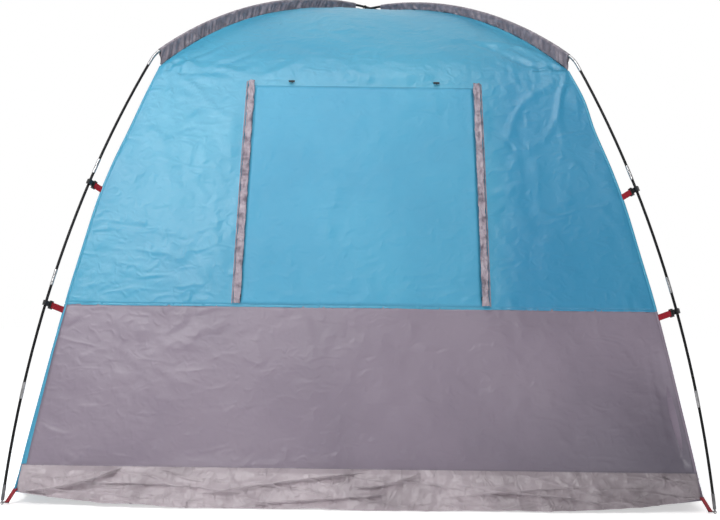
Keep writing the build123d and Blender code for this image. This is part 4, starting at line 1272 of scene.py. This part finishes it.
places = [(degrees, level) for degrees in LEGS.values() for level in HOOK_HEIGHTS]
webbing("leg_straps", [leg_strap(*place, 40 + n) for n, place in enumerate(places)], 0.0011, "straps")
foot_straps = [foot_strap(degrees, 60 + n) for n, degrees in enumerate(LEGS.values())]
webbing("foot_straps", foot_straps, 0.0009, "corner_straps")


# ---------------- tie at the crossing and toggle tabs
def cord(points, radius):
    tangents, one = crosswise(points, np.array([0.31, 0.22, 0.92]))  # a direction that no cord here follows
    return tube_grid(points, radius, one, np.cross(tangents, one), 8, 0.002)


def crossing_tie():
    """Cord lashed twice round each way over both poles where they cross."""
    t = np.linspace(0, 1, 220)[:, None]
    wind = 4 * math.pi * t
    side = (0.0085 + 0.0010 * np.sin(wind * 0.5 + 1)) * np.cos(wind)
    rise = (APEX - CROSSING_DROP / 2 + 0.0125 * np.sin(wind)) * UP
    grids = []
    for degrees in (0, 90):
        forwards, leftwards = compass(degrees)
        grids.append(cord(side * forwards + 0.005 * (t - 0.5) * leftwards + rise, 0.0013))
    finish_piece(sew("crossing_tie", grids, CORD_MERGE), cord_black, replaces=["apex_tie"])


def toggle_tabs():
    normal = surface_normals("front", np.array([TOGGLE_PLACE[1]]))[0]
    rightwards = compass(SIDES["front"])[1]
    up = np.cross(normal, rightwards)
    up = up if up[2] > 0 else -up
    t = np.linspace(0, 2 * math.pi, 60)[:, None]
    loop = normal * (0.0048 + 0.0044 * np.cos(t)) + up * (0.0048 * np.sin(t))
    loop = loop + rightwards * (0.002 * np.sin(t / 2))
    grids = []
    for hand in (1, -1):
        place = on_wall("front", hand * TOGGLE_PLACE[0], TOGGLE_PLACE[1], 0.0, False)[0]
        grids.append(cord(place + loop, 0.0011))
    finish_piece(sew("toggle_loops", grids, CORD_MERGE), cord_black, replaces=["toggle_tabs"])


crossing_tie()
toggle_tabs()


# ---------------- floor, lights and world
FLOOR_HALF, FLOOR_DROP = 40, 0.0005

floor_mesh = bpy.data.meshes.new("floor")
corners = [(x * FLOOR_HALF, y * FLOOR_HALF, 0) for x, y in ((-1, -1), (1, -1), (1, 1), (-1, 1))]
floor_mesh.from_pydata(corners, [], [(0, 1, 2, 3)])
floor = bpy.data.objects.new("floor", floor_mesh)
floor.location.z = -FLOOR_DROP
bpy.context.scene.collection.objects.link(floor)
paper = Surface("studio_floor", on_cloth=False)
floor_tone = paper.ramp(paper.noise(3.0), ((0.3, (0.86, 0.86, 0.86)), (0.7, (0.89, 0.89, 0.89))))
floor_mesh.materials.append(
    paper.finish(floor_tone, 0.9, Specular_IOR_Level=0.1, Emission_Color=(1, 1, 1), Emission_Strength=0.55)
)


def area_light(name, place, aim, size, power, spread=180):
    data = bpy.data.lights.new(name, "AREA")
    data.shape = "DISK"
    data.size = size
    data.energy = power
    data.spread = math.radians(spread)
    lamp = bpy.data.objects.new(name, data)
    lamp.location = place
    lamp.rotation_euler = (Vector(aim) - Vector(place)).to_track_quat("-Z", "Y").to_euler()
    bpy.context.scene.collection.objects.link(lamp)


area_light("key", (-2.5, -6.3, 5.4), (-0.95, -1.0, 1.25), 1.5, 20, 52)
area_light("fill", (-0.6, -6.8, 2.6), (-0.3, -0.9, 0.8), 3.0, 10)
area_light("top", (-0.2, -2.4, 4.6), (0, -0.6, 2.0), 1.8, 42)

WORLD_TURN = (-0.3, 0.55)  # from in front of the tent to behind it, as a share of the way
WORLD_LIGHT = (0.27, 0.98)  # how bright the world is at each


def studio_world():
    """White to look at, but its light is dimmer from the front and overhead."""
    world = bpy.data.worlds.new("studio")
    world.use_nodes = True
    tree = world.node_tree
    kinds = ("TexCoord", "SeparateXYZ", "MapRange", "LightPath", "Math")
    place, parts, spread, seen, either = (tree.nodes.new(f"ShaderNode{kind}") for kind in kinds)
    spread.interpolation_type = "SMOOTHSTEP"
    for name, value in zip(("From Min", "From Max", "To Min", "To Max"), WORLD_TURN + WORLD_LIGHT):
        spread.inputs[name].default_value = value
    either.operation = "MAXIMUM"
    for source, target in (
        (place.outputs["Generated"], parts.inputs["Vector"]),
        (parts.outputs["Y"], spread.inputs["Value"]),
        (spread.outputs["Result"], either.inputs[0]),
        (seen.outputs["Is Camera Ray"], either.inputs[1]),
        (either.outputs[0], tree.nodes["Background"].inputs["Color"]),
    ):
        tree.links.new(source, target)
    bpy.context.scene.world = world


studio_world()
bpy.context.scene.view_settings.view_transform = "Standard"
